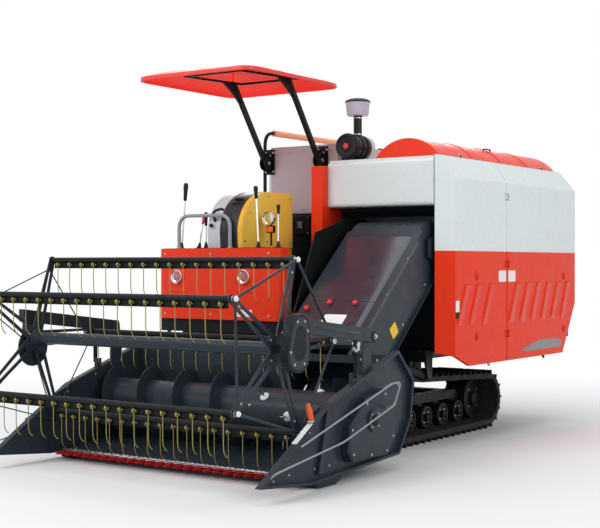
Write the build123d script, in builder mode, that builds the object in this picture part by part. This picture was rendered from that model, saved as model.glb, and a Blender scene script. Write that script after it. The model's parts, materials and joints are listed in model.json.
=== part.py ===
from build123d import *
import math
import os

os.makedirs("parts", exist_ok=True)

# Crawler combine harvester. Millimetres. +X is the machine's left, +Y its rear, +Z up.
# The origin is on the ground, under the middle of the whole machine.

# Running gear
lug_height = 30.0
lug_pitch = 88.0
lug_base = 40.0
belt_thickness = 37.5
track_width = 450.0
track_left_x = 425.0
track_right_x = -625.0
roller_radius = 82.5
roller_first_y = -150.0
roller_pitch = 247.0
roller_count = 6
wheel_width = 62.0
axle_block_half = 26.0
idler_y = 1345.0
idler_radius = 160.0
idler_gap = 60.0
carrier_y = 272.0
carrier_z = 379.0
carrier_radius = 60.0
sprocket_y = -315.0
sprocket_z = 420.0
sprocket_radius = 122.0
tooth_depth = 26.0
tooth_count = 13
sprocket_half = 35.0
wheel_clearance = 0.3
track_beam_low = 250.0
track_beam_high = 314.0
track_beam_half = 45.0

# Main frame
rail_xs = (-290.0, 90.0)
rail_half = 40.0
rail_low = 520.0
rail_high = 600.0
rail_front_y = -420.0
rail_rear_y = 2310.0
rail_cap = 60.0
deck_high = 680.0
outrigger_ys = (100.0, 1040.0, rail_rear_y - 250.0)
outrigger_half = 40.0
outrigger_reach = 895.0
front_reach = 800.0
hitch_reach = 42.0
hitch_half = 60.0
hitch_bore_radius = 14.0
hitch_bore_inset = 24.0
hitch_thickness = 24.0
hitch_z = 560.0

# Thresher body and its side doors
case_right_x = -20.0
case_left_x = 900.0
case_front_y = 310.0
case_rear_y = rail_rear_y
case_top = 2012.0
deck_thickness = 18.0
side_x = 950.0
side_front_y = 205.0
side_rear_y = case_rear_y + 25.0
corner_x = 850.0
corner_y = 88.0
door_thickness = 25.0
door_bottom = 560.0
crease_z = 1880.0
door_top = 2040.0
seam_y = 1028.0
seam_gap = 6.0
door_front_low = (665.0, 640.0)
sill_front_y = 423.0
sill_inset = 260.0
tail_low = 960.0
tail_high = 1910.0
tail_cut = 90.0
hinge_pin_radius = 6.0
pin_clearance = 0.3
hinge_heights = (760.0, 1280.0, 1780.0)
hinge_bracket_half = 20.0
beam_front_y = 75.0
beam_depth = 160.0
beam_low = 1690.0
guide_drop = 70.0
side_sheet_xs = (140.0, 150.0)
side_sheet_high = 1610.0
side_sheet_front_z = 1500.0
post_right_x = -115.0
post_front_y = 0.0
post_top_z = 1990.0
straw_xs = (80.0, 800.0)
straw_low = 760.0
straw_lip = 1250.0
straw_high = 1420.0

# Drum cover
dome_right_x = 312.0
dome_left_x = 838.0
dome_height = 140.0
dome_front_y = 185.0
dome_rear_y = case_rear_y - 130.0
dome_wall = 12.0
dome_gap = 1.0
dome_pin_drop = 14.0

# Grain tank, engine and driver's platform
tank_top = 2150.0
tank_wall = 12.0
tank_front_y = 255.0
tank_rear_y = case_rear_y - 125.0
tank_left_x = -50.0
tank_right_x = -970.0
tank_corner_x = -660.0
tank_corner_y = 650.0
tank_lid = 22.0
tank_rib_height = 12.0
tank_rib_count = 5
tank_rib_front = 180.0
tank_rib_rear = 195.0
rail_x = -740.0
grab_front_y = 282.0
rail_rise = 128.0
grab_rear_y = 1440.0
grab_radius = 14.0
sleeve_radius = 25.0
stand_off_heights = (1660.0, 2060.0)
platform_low = 800.0
platform_high = 890.0
platform_right_x = -1000.0
platform_left_x = 200.0
step_heights = (420.0, 620.0)
step_y = -430.0
step_half = 150.0
step_inset = 10.0
step_width = 120.0
step_thickness = 12.0
hanger_width = 30.0
hanger_thickness = 8.0
hood_front_y = -665.0
hood_depth = 130.0
hood_right_x = -1010.0
hood_left_x = 60.0
hood_top = 1390.0
hood_round = 60.0
headlamp_xs = (-820.0, -220.0)
headlamp_z = 1190.0
headlamp_radius = 50.0
headlamp_depth = 20.0
work_lamp_radius = 52.0
work_lamp_depth = 55.0
stalk_radius = 8.0
work_lamp = (-200.0, -400.0, 1600.0)
# Each lever: its foot, where its knob starts, the knob's tip, and the knob's radius
levers = (
    ((-830.0, -560.0), (-800.0, -560.0, 1720.0), (-792.0, -560.0, 1868.0), 17.0),
    ((-632.0, -575.0), (-632.0, -575.0, 1540.0), (-632.0, -575.0, 1642.0), 13.0),
    ((-700.0, -570.0), (-740.0, -480.0, 1560.0), (-750.0, -450.0, 1620.0), 14.0),
)
lever_radius = 8.0
lever_base = 14.0
handle_xs = (-848.0, -384.0)
handle_y = -615.0
handle_top = 1624.0
handle_radius = 12.0
handle_bend = 70.0
engine_top = 1240.0
engine_front_y = -300.0
engine_right_x = -960.0
engine_wall = 15.0
engine_block_xs = (-900.0, -640.0)
engine_length = 440.0
seat_xs = (-935.0, -630.0)
seat_ys = (-290.0, 130.0)
seat_height = 110.0
back_height = 410.0
back_inset = 10.0
louvre_count = 9
louvre_pitch = 44.0
console_left_x = -300.0
console_right_x = -600.0
console_rear_y = 15.0
console_top = 1790.0
console_front_y = -598.0
console_round_z = 1503.0
console_round_y = -300.0
console_bend = (-506.0, 1708.0)

# Feeder house and header
lift_y = 110.0
lift_z = 1387.0
feeder_half_depth = 190.0
feeder_right_x = 250.0
feeder_left_x = 800.0
feeder_wall = 12.0
feeder_slope = 41.2
flange_reach = 22.0
flange_thickness = 5.0
lid_height = 7.0
lug_half = 26.0
header_rear_y = -845.0
header_top = 705.0
header_half = 1010.0
sheet = 8.0
auger_y = -1105.0
auger_z = 345.0
trough_radius = 252.0
flight_radius = 236.0
auger_tube_radius = 150.0
auger_end_gap = 22.0
auger_shaft_radius = 25.0
flight_pitch = 310.0
flight_thickness = 5.0
finger_count = 8
finger_step = 135.0
finger_radius = 7.0
floor_front_y = -1630.0
floor_front_z = 50.0
guard_pitch = 76.2
guard_count = 25
guard_length = 110.0
guard_tip_y = -1770.0
divider_thickness = 40.0
divider_skin = 8.0
divider_rim = 16.0
guard_reach_left = 68.0
guard_reach_right = 50.0
guard_bar_low = 42.0
guard_bar_high = 54.0
guard_point_high = 66.0
knife_low = 66.5
knife_high = 72.0
blade_thickness = 3.0
wire_radius = 5.0

# Lift cylinder
cylinder_x = 725.0
foot_y = 160.0
foot_z = 500.0
eye_y = -400.0
eye_z = 650.0
barrel_radius = 32.0
lift_rod_radius = 18.0
eye_radius = 12.0
foot_pin_radius = 14.0
# The rod's eye stands a little off its pin while the header rises
linkage_play = 4.0
lift_dead_length = 60.0
rod_ear_gap = 12.0
rod_ear_thickness = 10.0
rod_ear_radius = 22.0

# Reel
reel_y = -1900.0
reel_z = 810.0
bar_radius_of_reel = 515.0
bar_first_angle = 146.0
bar_count = 5
bar_half_length = 945.0
bar_tube_radius = 17.0
bar_pin_radius = 10.0
tine_pitch = 105.0
tine_count = 18
tine_drop = 190.0
tine_radius = 3.0
tine_hook = 45.0
tine_coil_radius = 11.0
tine_top = 20.0
strip_drop = 48.0
ring_pin_radius = 8.0
spider_thickness = 10.0
spider_x = 950.0
spider_hub_radius = 75.0
spider_root = 46.0
spider_tip = 22.0
slot_root = 20.0
slot_tip = 8.0
crank_offset = 60.0
crank_thickness = 6.0
ring_thickness = 8.0
ring_gap = 6.0
cam_radius = 95.0
cover_radius = 105.0
reel_shaft_radius = 22.0
reel_tube_radius = 38.0
arm_pivot_y = -1085.0
arm_pivot_z = 845.0
arm_gap = 23.0
arm_inner_x = header_half + arm_gap
arm_width = 46.0
arm_depth = 80.0
arm_front_y = -1930.0
arm_front_z = 950.0
arm_pin_radius = 12.0

# Reel cylinders
reel_foot_y = -1255.0
reel_foot_z = 620.0
reel_eye_z = 806.0
reel_pin_radius = 8.0
reel_rod_radius = 9.0
reel_play = 2.5
reel_barrel_radius = 15.0
reel_barrel_low = 25.0
reel_barrel_high = 140.0
reel_eye_half = 7.0
fork_gap = 12.0
fork_thickness = 6.0
fork_drop = 36.0

# Canopy
canopy_right_x = -1060.0
canopy_left_x = -30.0
canopy_front_y = -860.0
canopy_rear_y = 285.0
canopy_rim_z = 2590.0
canopy_crown_z = 2700.0
canopy_wall = 12.0
canopy_corner = 170.0
roof_drop = 14.0
post_xs = (-670.0, -180.0)
post_foot_y = 205.0
post_foot_z = 2050.0
post_top_y = -215.0
post_half = 26.0
bracket_radius = 46.0
frame_front_y = -755.0
frame_rear_y = 60.0
frame_half = 18.0
pad_xs = (-670.0, -370.0)
pad_ys = (-470.0, -215.0)

# Air cleaner on the deck
drum_x = 115.0
drum_front_y = 100.0
drum_length = 240.0
drum_radius = 88.0
drum_band = 6.0
drum_rise = 16.0
pipe_x = 135.0
pipe_y = 235.0
pipe_radius = 31.0
band_width = 14.0
band_shares = (0.08, 0.45, 0.72)
bowl_low = 2360.0
bowl_high = 2462.0
bowl_radius = 92.0

# Unloading auger
column_x = -800.0
column_radius = 72.0
column_gap = 5.0
column_low = 760.0
column_top = 2036.0
boom_z = 2130.0
boom_radius = 56.0
boom_end_x = 320.0
spout_length = 140.0
spout_drop = 30.0
spout_wall = 8.0


def block(x, y, z, mode=Mode.ADD):
    """A box given by its low and high edge along each axis."""
    middle = ((x[0] + x[1]) / 2, (y[0] + y[1]) / 2, (z[0] + z[1]) / 2)
    with Locations(middle):
        Box(x[1] - x[0], y[1] - y[0], z[1] - z[0], mode=mode)


def rod(start, end, radius, mode=Mode.ADD):
    """A round bar from one point to another."""
    first = Vector(*start)
    along = Vector(*end) - first
    with Locations(Plane(origin=first + along * 0.5, z_dir=along)):
        Cylinder(radius, along.length, mode=mode)


def cross_rod(x, y, z, radius, mode=Mode.ADD):
    """A round bar along X, from x[0] to x[1], at one place in Y and Z."""
    rod((x[0], y, z), (x[1], y, z), radius, mode)


def side_plate(points, x, mode=Mode.ADD):
    """A plate with an outline in Y and Z, from x[0] to x[1]."""
    with BuildSketch(Plane.YZ.offset(x[0]), mode=Mode.PRIVATE) as outline:
        Polygon(*points, align=None)
    extrude(outline.sketch, amount=x[1] - x[0], mode=mode)


def plan_plate(points, z, mode=Mode.ADD):
    """A plate with an outline in X and Y, from z[0] to z[1]."""
    with BuildSketch(Plane.XY.offset(z[0]), mode=Mode.PRIVATE) as outline:
        Polygon(*points, align=None)
    extrude(outline.sketch, amount=z[1] - z[0], mode=mode)


def front_plate(points, y, mode=Mode.ADD):
    """A plate with an outline in X and Z, from y[0] to y[1]."""
    with BuildSketch(Plane.XZ.offset(-y[0]), mode=Mode.PRIVATE) as outline:
        Polygon(*points, align=None)
    extrude(outline.sketch, amount=y[0] - y[1], mode=mode)


def save(part, name):
    part.label = name
    export_step(part, f"parts/{name}.step")


# Crawler tracks: two straight-sided loops joined, so that the top run dips over the carrier roller
belt_inner_z = lug_height + belt_thickness
roller_z = belt_inner_z + roller_radius
idler_z = belt_inner_z + idler_radius
roller_ys = [roller_first_y + roller_pitch * i for i in range(roller_count)]


def loop_face(grow):
    """The space inside the track, grown outward by a thickness."""
    rear = [(idler_y, idler_z, idler_radius), (carrier_y, carrier_z, carrier_radius)]
    rear += [(roller_ys[0], roller_z, roller_radius)]
    front = [(sprocket_y, sprocket_z, sprocket_radius), (carrier_y, carrier_z, carrier_radius)]
    front += [(roller_ys[0], roller_z, roller_radius)]
    with BuildSketch(mode=Mode.PRIVATE) as face:
        for wheels in (rear, front):
            with BuildSketch(mode=Mode.PRIVATE) as hull:
                for y, z, radius in wheels:
                    with Locations((y, z)):
                        Circle(radius + grow)
                make_hull(hull.sketch.edges(), mode=Mode.REPLACE)
            add(hull.sketch)
    return face.sketch


belt_outside = loop_face(belt_thickness)
belt_inside = loop_face(0)
belt_path = belt_outside.faces()[0].outer_wire()
lug_total = int(belt_path.length / lug_pitch)

with BuildPart() as track:
    # Lugs stand in two rows, half a pitch apart, each on its half of the belt
    for row, low_x in enumerate((-track_width / 2, 0)):
        with BuildSketch(Plane.YZ.offset(low_x)):
            add(belt_outside)
            for i in range(lug_total):
                share = (i + row / 2) / lug_total
                spot = belt_path.position_at(share)
                heading = belt_path.tangent_at(share)
                turn = math.degrees(math.atan2(heading.Y, heading.X))
                with Locations((spot.X, spot.Y)):
                    Trapezoid(lug_base, 2 * lug_height, 72, rotation=turn)
            add(belt_inside, mode=Mode.SUBTRACT)
        extrude(amount=track_width / 2)

for side, middle_x, outward in (("left", track_left_x, 1), ("right", track_right_x, -1)):
    save(track.part.moved(Location((middle_x, 0, 0))), f"track_{side}")

    # Rollers, idler and carrier are pairs of wheels, one each side of the block that holds the axle
    with BuildPart() as wheels:
        pairs = [(y, roller_z, roller_radius) for y in roller_ys]
        pairs += [(idler_y, idler_z, idler_radius), (carrier_y, carrier_z, carrier_radius)]
        for y, z, full_radius in pairs:
            radius = full_radius - wheel_clearance
            for way in (-1, 1):
                near = middle_x + way * axle_block_half
                far = near + way * wheel_width
                cross_rod((near, far), y, z, radius)
                cross_rod((far - way * 10, far), y, z, radius * 0.78, Mode.SUBTRACT)
                cross_rod((far - way * 11, far + way * 12), y, z, radius * 0.35)
        sprocket_outer = sprocket_radius - wheel_clearance
        sprocket_x = (middle_x - sprocket_half, middle_x + sprocket_half)
        cross_rod(sprocket_x, sprocket_y, sprocket_z, sprocket_outer)
        for i in range(tooth_count):
            angle = 2 * math.pi * i / tooth_count
            gap_y = sprocket_y + sprocket_radius * math.cos(angle)
            gap_z = sprocket_z + sprocket_radius * math.sin(angle)
            cross_rod((sprocket_x[0] - 1, sprocket_x[1] + 1), gap_y, gap_z, tooth_depth / 2, Mode.SUBTRACT)
        hub_x = middle_x + outward * sprocket_half
        cross_rod((hub_x, hub_x + outward * 25), sprocket_y, sprocket_z, sprocket_radius * 0.55)
    save(wheels.part, f"running_gear_{side}")

    with BuildPart() as track_frame:
        beam_x = (middle_x - track_beam_half, middle_x + track_beam_half)
        block_x = (middle_x - axle_block_half, middle_x + axle_block_half)
        beam_rear_y = idler_y - idler_radius - idler_gap
        block(beam_x, (roller_ys[0] + 60, beam_rear_y), (track_beam_low, track_beam_high))
        side_plate([(roller_ys[0] - 30, roller_z - 25), (roller_ys[0] + 30, roller_z - 25),
                    (roller_ys[0] + 150, track_beam_low + 10), (roller_ys[0] + 60, track_beam_high)], block_x)
        for y in roller_ys[1:]:
            block(block_x, (y - 30, y + 30), (roller_z - 25, track_beam_low))
        block(block_x, (beam_rear_y, idler_y + 30), (idler_z - 30, track_beam_high - 20))
        block(block_x, (carrier_y - 30, carrier_y + 30), (track_beam_high, carrier_z + 25))
    save(track_frame.part, f"track_frame_{side}")

# Main frame: two rails, outriggers above the tracks, cross beams through the loops, gearbox, tow hitch
with BuildPart() as main_frame:
    for x in rail_xs:
        block((x - rail_half, x + rail_half), (rail_front_y, rail_rear_y), (rail_low, rail_high))
        for y in (outrigger_ys[0], outrigger_ys[1]):
            block((x - rail_half, x + rail_half), (y - outrigger_half, y + outrigger_half),
                  (track_beam_low, rail_low))
    for y, reach in zip(outrigger_ys, (front_reach, outrigger_reach, outrigger_reach)):
        block((-outrigger_reach, reach), (y - outrigger_half, y + outrigger_half), (rail_high, deck_high))
    for y in (outrigger_ys[0], outrigger_ys[1]):
        block((track_right_x + track_beam_half, track_left_x - track_beam_half),
              (y - outrigger_half, y + outrigger_half), (track_beam_low, track_beam_high))
    gearbox_y = (sprocket_y - 130, sprocket_y + 110)
    block((rail_xs[0] - rail_half, rail_xs[1] + rail_half), gearbox_y, (sprocket_z - 110, rail_low))
    cross_rod((track_right_x + sprocket_half, track_left_x - sprocket_half), sprocket_y, sprocket_z, 55)
    for x in rail_xs:
        block((x - rail_half, x + rail_half), (rail_front_y, -50), (rail_high, platform_low))
    for y, right_x in ((rail_front_y + 40, platform_right_x + 20), (-90, console_right_x + 5)):
        block((right_x, platform_left_x), (y - 40, y + 40), (platform_low - 80, platform_low))
    block(rail_xs, (rail_rear_y - rail_cap, rail_rear_y), (rail_low, rail_high))
    hitch_x = (rail_xs[0] + rail_xs[1]) / 2
    hitch_reach_y = rail_rear_y + hitch_reach
    block((hitch_x - hitch_half, hitch_x + hitch_half), (rail_rear_y - rail_cap, hitch_reach_y),
          (hitch_z - hitch_thickness / 2, hitch_z + hitch_thickness / 2))
    with Locations((hitch_x, hitch_reach_y - hitch_bore_inset, hitch_z)):
        Cylinder(hitch_bore_radius, hitch_thickness + 2, mode=Mode.SUBTRACT)
    # Foot of the lift cylinder, outside the left track
    for way in (-1, 1):
        inner = cylinder_x + way * (barrel_radius + 6)
        side_plate([(outrigger_ys[0] - 30, deck_high), (foot_y + 40, deck_high), (foot_y + 30, foot_z - 10),
                    (foot_y, foot_z - 30), (foot_y - 30, foot_z - 10)], sorted((inner, inner + way * 12)))
    ears_reach = barrel_radius + 18
    cross_rod((cylinder_x - ears_reach, cylinder_x + ears_reach), foot_y, foot_z, foot_pin_radius)
save(main_frame.part, "main_frame")

# Thresher body: a plain closed case behind the side doors
case_slope = door_thickness + 25
with BuildPart() as thresher_case:
    front_plate([(case_right_x, deck_high), (case_left_x, deck_high), (case_left_x, crease_z - 20),
                 (corner_x - case_slope, case_top), (case_right_x, case_top)], (case_front_y, case_rear_y))
    hinge_x = side_x - door_thickness / 2
    for way in (-1, 1):
        axis_y = seam_y + way * (seam_gap / 2 + door_thickness / 2)
        for height in hinge_heights:
            low = height - hinge_bracket_half
            high = height + hinge_bracket_half
            block((case_left_x, hinge_x), (axis_y - 8, axis_y + 8), (low, high))
            with Locations((hinge_x, axis_y, height)):
                Cylinder(10, high - low)
                Cylinder(hinge_pin_radius, 4 * hinge_bracket_half)
    # Crop guide behind the beam, over the feeder house
    beam_rear_y = beam_front_y + beam_depth
    guide_x = (case_right_x, corner_x - 60)
    block(guide_x, (beam_rear_y, case_front_y), (beam_low, case_top))
    side_plate([(beam_rear_y, beam_low), (case_front_y, beam_low), (case_front_y, beam_low - guide_drop),
                (beam_rear_y + 30, beam_low - guide_drop / 2)], guide_x)
    # Cheeks that carry the feeder house's pivot
    for inner, outer in ((feeder_right_x - 8, feeder_right_x - 28), (feeder_left_x + 8, feeder_left_x + 28)):
        side_plate([(lift_y - 70, lift_z - 60), (lift_y - 70, lift_z + 60), (case_front_y, lift_z + 140),
                    (case_front_y, lift_z - 140)], sorted((inner, outer)))
    cross_rod((feeder_right_x - 28, feeder_right_x + 10), lift_y, lift_z, 30)
    cross_rod((feeder_left_x - 10, feeder_left_x + 28), lift_y, lift_z, 30)
save(thresher_case.part, "thresher_case")

with BuildPart() as front_beam:
    block((case_right_x, corner_x - 6), (beam_front_y, beam_rear_y), (beam_low, case_top))
    fillet(front_beam.edges().filter_by(Axis.X).group_by(Axis.Y)[0], 22)
save(front_beam.part, "front_beam")

with BuildPart() as top_deck:
    deck_z = case_top + deck_thickness
    block((case_right_x, corner_x - 12), (beam_front_y + 20, case_rear_y), (case_top, deck_z))
    pin_z = deck_z + dome_pin_drop
    for y in (dome_front_y + 300, dome_rear_y - 300):
        for way in (-1, 1):
            ear_y = sorted((y + way * 26, y + way * 34))
            block((dome_right_x - 24, dome_right_x), ear_y, (deck_z, pin_z + 10))
        rod((dome_right_x - 12, y - 30, pin_z), (dome_right_x - 12, y + 30, pin_z), hinge_pin_radius)
save(top_deck.part, "top_deck")

with BuildPart() as drum_cover:
    base_z = deck_z + dome_gap
    half = (dome_left_x - dome_right_x) / 2
    middle = (dome_left_x + dome_right_x) / 2
    for inset in (0, dome_wall):
        ends = (dome_front_y + inset, dome_rear_y - inset)
        with BuildSketch(Plane.XZ.offset(-ends[0])) as crown:
            with BuildLine():
                Line((middle - half + inset, base_z), (middle + half - inset, base_z))
                ThreePointArc((middle + half - inset, base_z), (middle, base_z + dome_height - inset),
                              (middle - half + inset, base_z))
            make_face()
        extrude(amount=ends[0] - ends[1], mode=Mode.SUBTRACT if inset else Mode.ADD)
    for y in (dome_front_y + 300, dome_rear_y - 300):
        rod((dome_right_x - 12, y - 20, pin_z), (dome_right_x - 12, y + 20, pin_z), 12)
        block((dome_right_x - 12, dome_right_x + 20), (y - 20, y + 20), (pin_z - 2, pin_z + 12))
        rod((dome_right_x - 12, y - 21, pin_z), (dome_right_x - 12, y + 21, pin_z),
            hinge_pin_radius + pin_clearance, Mode.SUBTRACT)
save(drum_cover.part, "drum_cover")


slope_rise = door_top - crease_z
slope_run = side_x - corner_x
slope_step = door_thickness * math.hypot(slope_rise, slope_run) / slope_run
far_y = side_rear_y + 500


def door_shell(inset):
    """The space inside the side panel's surface, moved inward by an inset."""
    with BuildPart(mode=Mode.PRIVATE) as shell:
        with BuildSketch(Plane.XY.offset(door_bottom - inset)):
            Polygon((corner_x - 400, corner_y), (corner_x, corner_y), (side_x, side_front_y), (side_x, far_y),
                    (corner_x - 400, far_y), align=None)
            if inset:
                offset(amount=-inset, kind=Kind.INTERSECTION, mode=Mode.REPLACE)
        extrude(amount=door_top - door_bottom + 2 * inset)
        # The top leans in from the crease
        drop = slope_step if inset else 0
        grade = slope_rise / slope_run
        front_plate([(side_x + 50, crease_z - drop - 50 * grade), (side_x + 50, door_top + 900),
                     (corner_x - 400, door_top + 900), (corner_x - 400, door_top - drop + 400 * grade)],
                    (corner_y - 100, far_y + 100), Mode.SUBTRACT)
    return shell.part


door_outer = door_shell(0)
door_inner = door_shell(door_thickness)
side_outline = [(corner_y, door_front_low[0]), (side_front_y, door_front_low[1]), (sill_front_y, door_bottom),
                (side_rear_y - sill_inset, door_bottom), (side_rear_y, tail_low), (side_rear_y, tail_high),
                (side_rear_y - tail_cut, door_top), (corner_y, door_top)]

for name, span_y, way in (("door_front", (corner_y - 10, seam_y - seam_gap / 2), -1),
                          ("door_rear", (seam_y + seam_gap / 2, side_rear_y), 1)):
    axis_y = seam_y + way * (seam_gap / 2 + door_thickness / 2)
    with BuildPart() as door:
        side_plate(side_outline, (corner_x, side_x))
        add(door_outer, mode=Mode.INTERSECT)
        add(door_inner, mode=Mode.SUBTRACT)
        block((0, side_x + 100), span_y, (0, door_top + 10), Mode.INTERSECT)
        # The edge beside the seam is rounded about the hinge
        seam_edges = door.edges().filter_by(Axis.Z).group_by(Axis.Y)[-1 if way < 0 else 0]
        fillet(seam_edges.filter_by(lambda edge: edge.center().X > side_x - door_thickness - 1),
               door_thickness / 2 - 0.1)
        for height in hinge_heights:
            block((side_x - door_thickness - 5, side_x + 1), (axis_y - 24, axis_y + 24),
                  (height - hinge_bracket_half - 6, height + hinge_bracket_half + 6), Mode.SUBTRACT)
            with Locations((hinge_x, axis_y, height)):
                Cylinder(hinge_pin_radius + pin_clearance, 4 * hinge_bracket_half + 4, mode=Mode.SUBTRACT)
    save(door.part, name)

# Grain tank with its flat cover, and the red post beside it
tank_plan = [(tank_left_x, tank_front_y), (tank_corner_x, tank_front_y), (tank_right_x, tank_corner_y),
             (tank_right_x, tank_rear_y), (tank_left_x, tank_rear_y)]
with BuildPart() as grain_tank:
    plan_plate(tank_plan, (deck_high, tank_top))
    with BuildSketch(Plane.XY.offset(deck_high + tank_wall)):
        Polygon(*tank_plan, align=None)
        offset(amount=-tank_wall, kind=Kind.INTERSECTION, mode=Mode.REPLACE)
    extrude(amount=tank_top - deck_high, mode=Mode.SUBTRACT)
    # Pressed ribs on the open side
    rib_span = tank_rear_y - tank_rib_rear - tank_corner_y - tank_rib_front
    for i in range(tank_rib_count):
        y = tank_corner_y + tank_rib_front + rib_span * i / (tank_rib_count - 1)
        block((tank_right_x - tank_rib_height, tank_right_x), (y - 35, y + 35),
              (deck_high + 120, tank_top - 160))
    chamfer(grain_tank.edges().filter_by(Axis.Z).group_by(Axis.X)[0], tank_rib_height - 1)
save(grain_tank.part, "grain_tank")

with BuildPart() as tank_cover:
    plan_plate(tank_plan, (tank_top, tank_top + tank_lid))
    # Raised middle and a handle
    block((rail_x + 40, tank_left_x - 120), (tank_corner_y + 60, tank_rear_y - 140),
          (tank_top + tank_lid, tank_top + tank_lid + 8))
    chamfer(tank_cover.edges().group_by(Axis.Z)[-1], 7)
save(tank_cover.part, "tank_cover")

with BuildPart() as front_post:
    block((post_right_x, case_right_x), (post_front_y, tank_front_y), (platform_high, post_top_z))
save(front_post.part, "front_post")

# Driver's platform, hood, engine and its cover
with BuildPart() as platform:
    floor_z = (platform_low, platform_high)
    block((platform_right_x, platform_left_x), (hood_front_y + 30, engine_front_y - 5), floor_z)
    block((console_right_x + 5, platform_left_x), (engine_front_y - 6, post_front_y), floor_z)
    side_plate([(hood_front_y + 40, platform_high), (hood_front_y + 330, side_sheet_front_z),
                (beam_front_y + 10, side_sheet_high), (case_front_y, side_sheet_high),
                (case_front_y, platform_high)], side_sheet_xs)
    # Two steps hang from the floor's open side
    step_x = platform_right_x + step_inset
    for z in step_heights:
        block((step_x, step_x + step_width), (step_y - step_half, step_y + step_half),
              (z, z + step_thickness))
    for y in (step_y - step_half, step_y + step_half - hanger_thickness):
        block((step_x, step_x + hanger_width), (y, y + hanger_thickness), (step_heights[0], platform_low))
save(platform.part, "platform")

with BuildPart() as front_hood:
    block((hood_right_x, hood_left_x), (hood_front_y, hood_front_y + hood_depth), (platform_high, hood_top))
    fillet(front_hood.edges().filter_by(Axis.Z).group_by(Axis.Y)[0], hood_round)
    block((hood_right_x + 20, hood_left_x - 20), (hood_front_y + 20, hood_front_y + hood_depth + 1),
          (platform_high - 1, hood_top - 20), Mode.SUBTRACT)
save(front_hood.part, "front_hood")

with BuildPart() as lamps:
    for x in headlamp_xs:
        face_y = hood_front_y - headlamp_depth / 2
        with Locations(Plane(origin=(x, face_y, headlamp_z), z_dir=(0, -1, 0))):
            Cylinder(headlamp_radius, headlamp_depth)
    # Work lamp on its stalk, with a flasher under it
    lamp_x, lamp_y, lamp_z = work_lamp
    rim_y = lamp_y - 10
    with BuildSketch(Plane(origin=(lamp_x, rim_y + work_lamp_depth, lamp_z), z_dir=(0, -1, 0))):
        Circle(22)
    with BuildSketch(Plane(origin=(lamp_x, rim_y, lamp_z), z_dir=(0, -1, 0))):
        Circle(work_lamp_radius - 2)
    loft()
    with Locations(Plane(origin=(lamp_x, rim_y - 5, lamp_z), z_dir=(0, -1, 0))):
        Cylinder(work_lamp_radius, 14)
    block((lamp_x - 32, lamp_x + 32), (lamp_y - 8, lamp_y + 30), (lamp_z - 100, lamp_z - 52))
    rod((lamp_x, lamp_y + 20, hood_top), (lamp_x, lamp_y + 20, lamp_z), stalk_radius)
    block((lamp_x - 20, lamp_x + 20), (hood_front_y + hood_depth - 20, lamp_y + 40), (hood_top, hood_top + 8))
save(lamps.part, "lamps")

with BuildPart() as engine_block:
    block(engine_block_xs, (engine_front_y + 60, engine_front_y + 60 + engine_length),
          (deck_high, engine_top - 120))
save(engine_block.part, "engine_block")

with BuildPart() as engine_cover:
    cover_x = (engine_right_x, console_right_x - 5)
    block(cover_x, (engine_front_y, tank_front_y), (deck_high, engine_top))
    fillet(engine_cover.edges().filter_by(Axis.Y).group_by(Axis.Z)[-1], 18)
    block((cover_x[0] + engine_wall, cover_x[1] - engine_wall),
          (engine_front_y + engine_wall, tank_front_y + 1), (deck_high - 1, engine_top - engine_wall),
          Mode.SUBTRACT)
    # Louvres in the open side, each a slot under a sloping lip
    for i in range(louvre_count):
        z = deck_high + 90 + i * louvre_pitch
        for y in ((engine_front_y + 50, engine_front_y + 255), (engine_front_y + 285, tank_front_y - 40)):
            block((cover_x[0] - 1, cover_x[0] + engine_wall + 1), y, (z, z + louvre_pitch * 0.45),
                  Mode.SUBTRACT)
            front_plate([(cover_x[0] + 1, z + louvre_pitch * 0.45), (cover_x[0] + 1, z + louvre_pitch * 0.55),
                         (cover_x[0] - 14, z + 4), (cover_x[0] - 14, z)], y)
save(engine_cover.part, "engine_cover")

with BuildPart() as seat:
    cushion_top = engine_top + seat_height
    back_top = cushion_top + back_height
    block(seat_xs, seat_ys, (engine_top, cushion_top))
    side_plate([(seat_ys[1] - 70, cushion_top), (seat_ys[1] + 10, cushion_top), (seat_ys[1] + 50, back_top),
                (seat_ys[1] - 10, back_top)], (seat_xs[0] + back_inset, seat_xs[1] - back_inset))
save(seat.part, "seat")

# Side console: a plate with a quarter-round front, carried on across the machine
with BuildPart() as console:
    shelf_y = hood_front_y + hood_depth + 5
    shelf_z = hood_top + 3
    with BuildSketch(Plane.YZ.offset(console_right_x)):
        with BuildLine():
            Line((console_rear_y, platform_high), (console_rear_y, console_top))
            Line((console_rear_y, console_top), (console_round_y, console_top))
            ThreePointArc((console_round_y, console_top), console_bend, (console_front_y, console_round_z))
            Line((console_front_y, console_round_z), (console_front_y + 8, shelf_z))
            Line((console_front_y + 8, shelf_z), (shelf_y, shelf_z))
            Line((shelf_y, shelf_z), (shelf_y, platform_high))
            Line((shelf_y, platform_high), (console_rear_y, platform_high))
        make_face()
    extrude(amount=console_left_x - console_right_x)
save(console.part, "console")

with BuildPart() as controls:
    for foot, knob, tip, radius in levers:
        rod((foot[0], foot[1], hood_top + lever_base / 2), knob, lever_radius)
        rod(knob, tip, radius)
        block((foot[0] - 24, foot[0] + 24), (foot[1] - 20, foot[1] + 20), (hood_top, hood_top + lever_base))
    with BuildLine() as handle:
        FilletPolyline((handle_xs[0], handle_y, hood_top), (handle_xs[0], handle_y, handle_top),
                       (handle_xs[1], handle_y, handle_top), (handle_xs[1], handle_y, hood_top),
                       radius=handle_bend)
    with BuildSketch(Plane(origin=(handle_xs[0], handle_y, hood_top), z_dir=(0, 0, 1))):
        Circle(handle_radius)
    sweep(path=handle.wires()[0])
save(controls.part, "controls")

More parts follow.
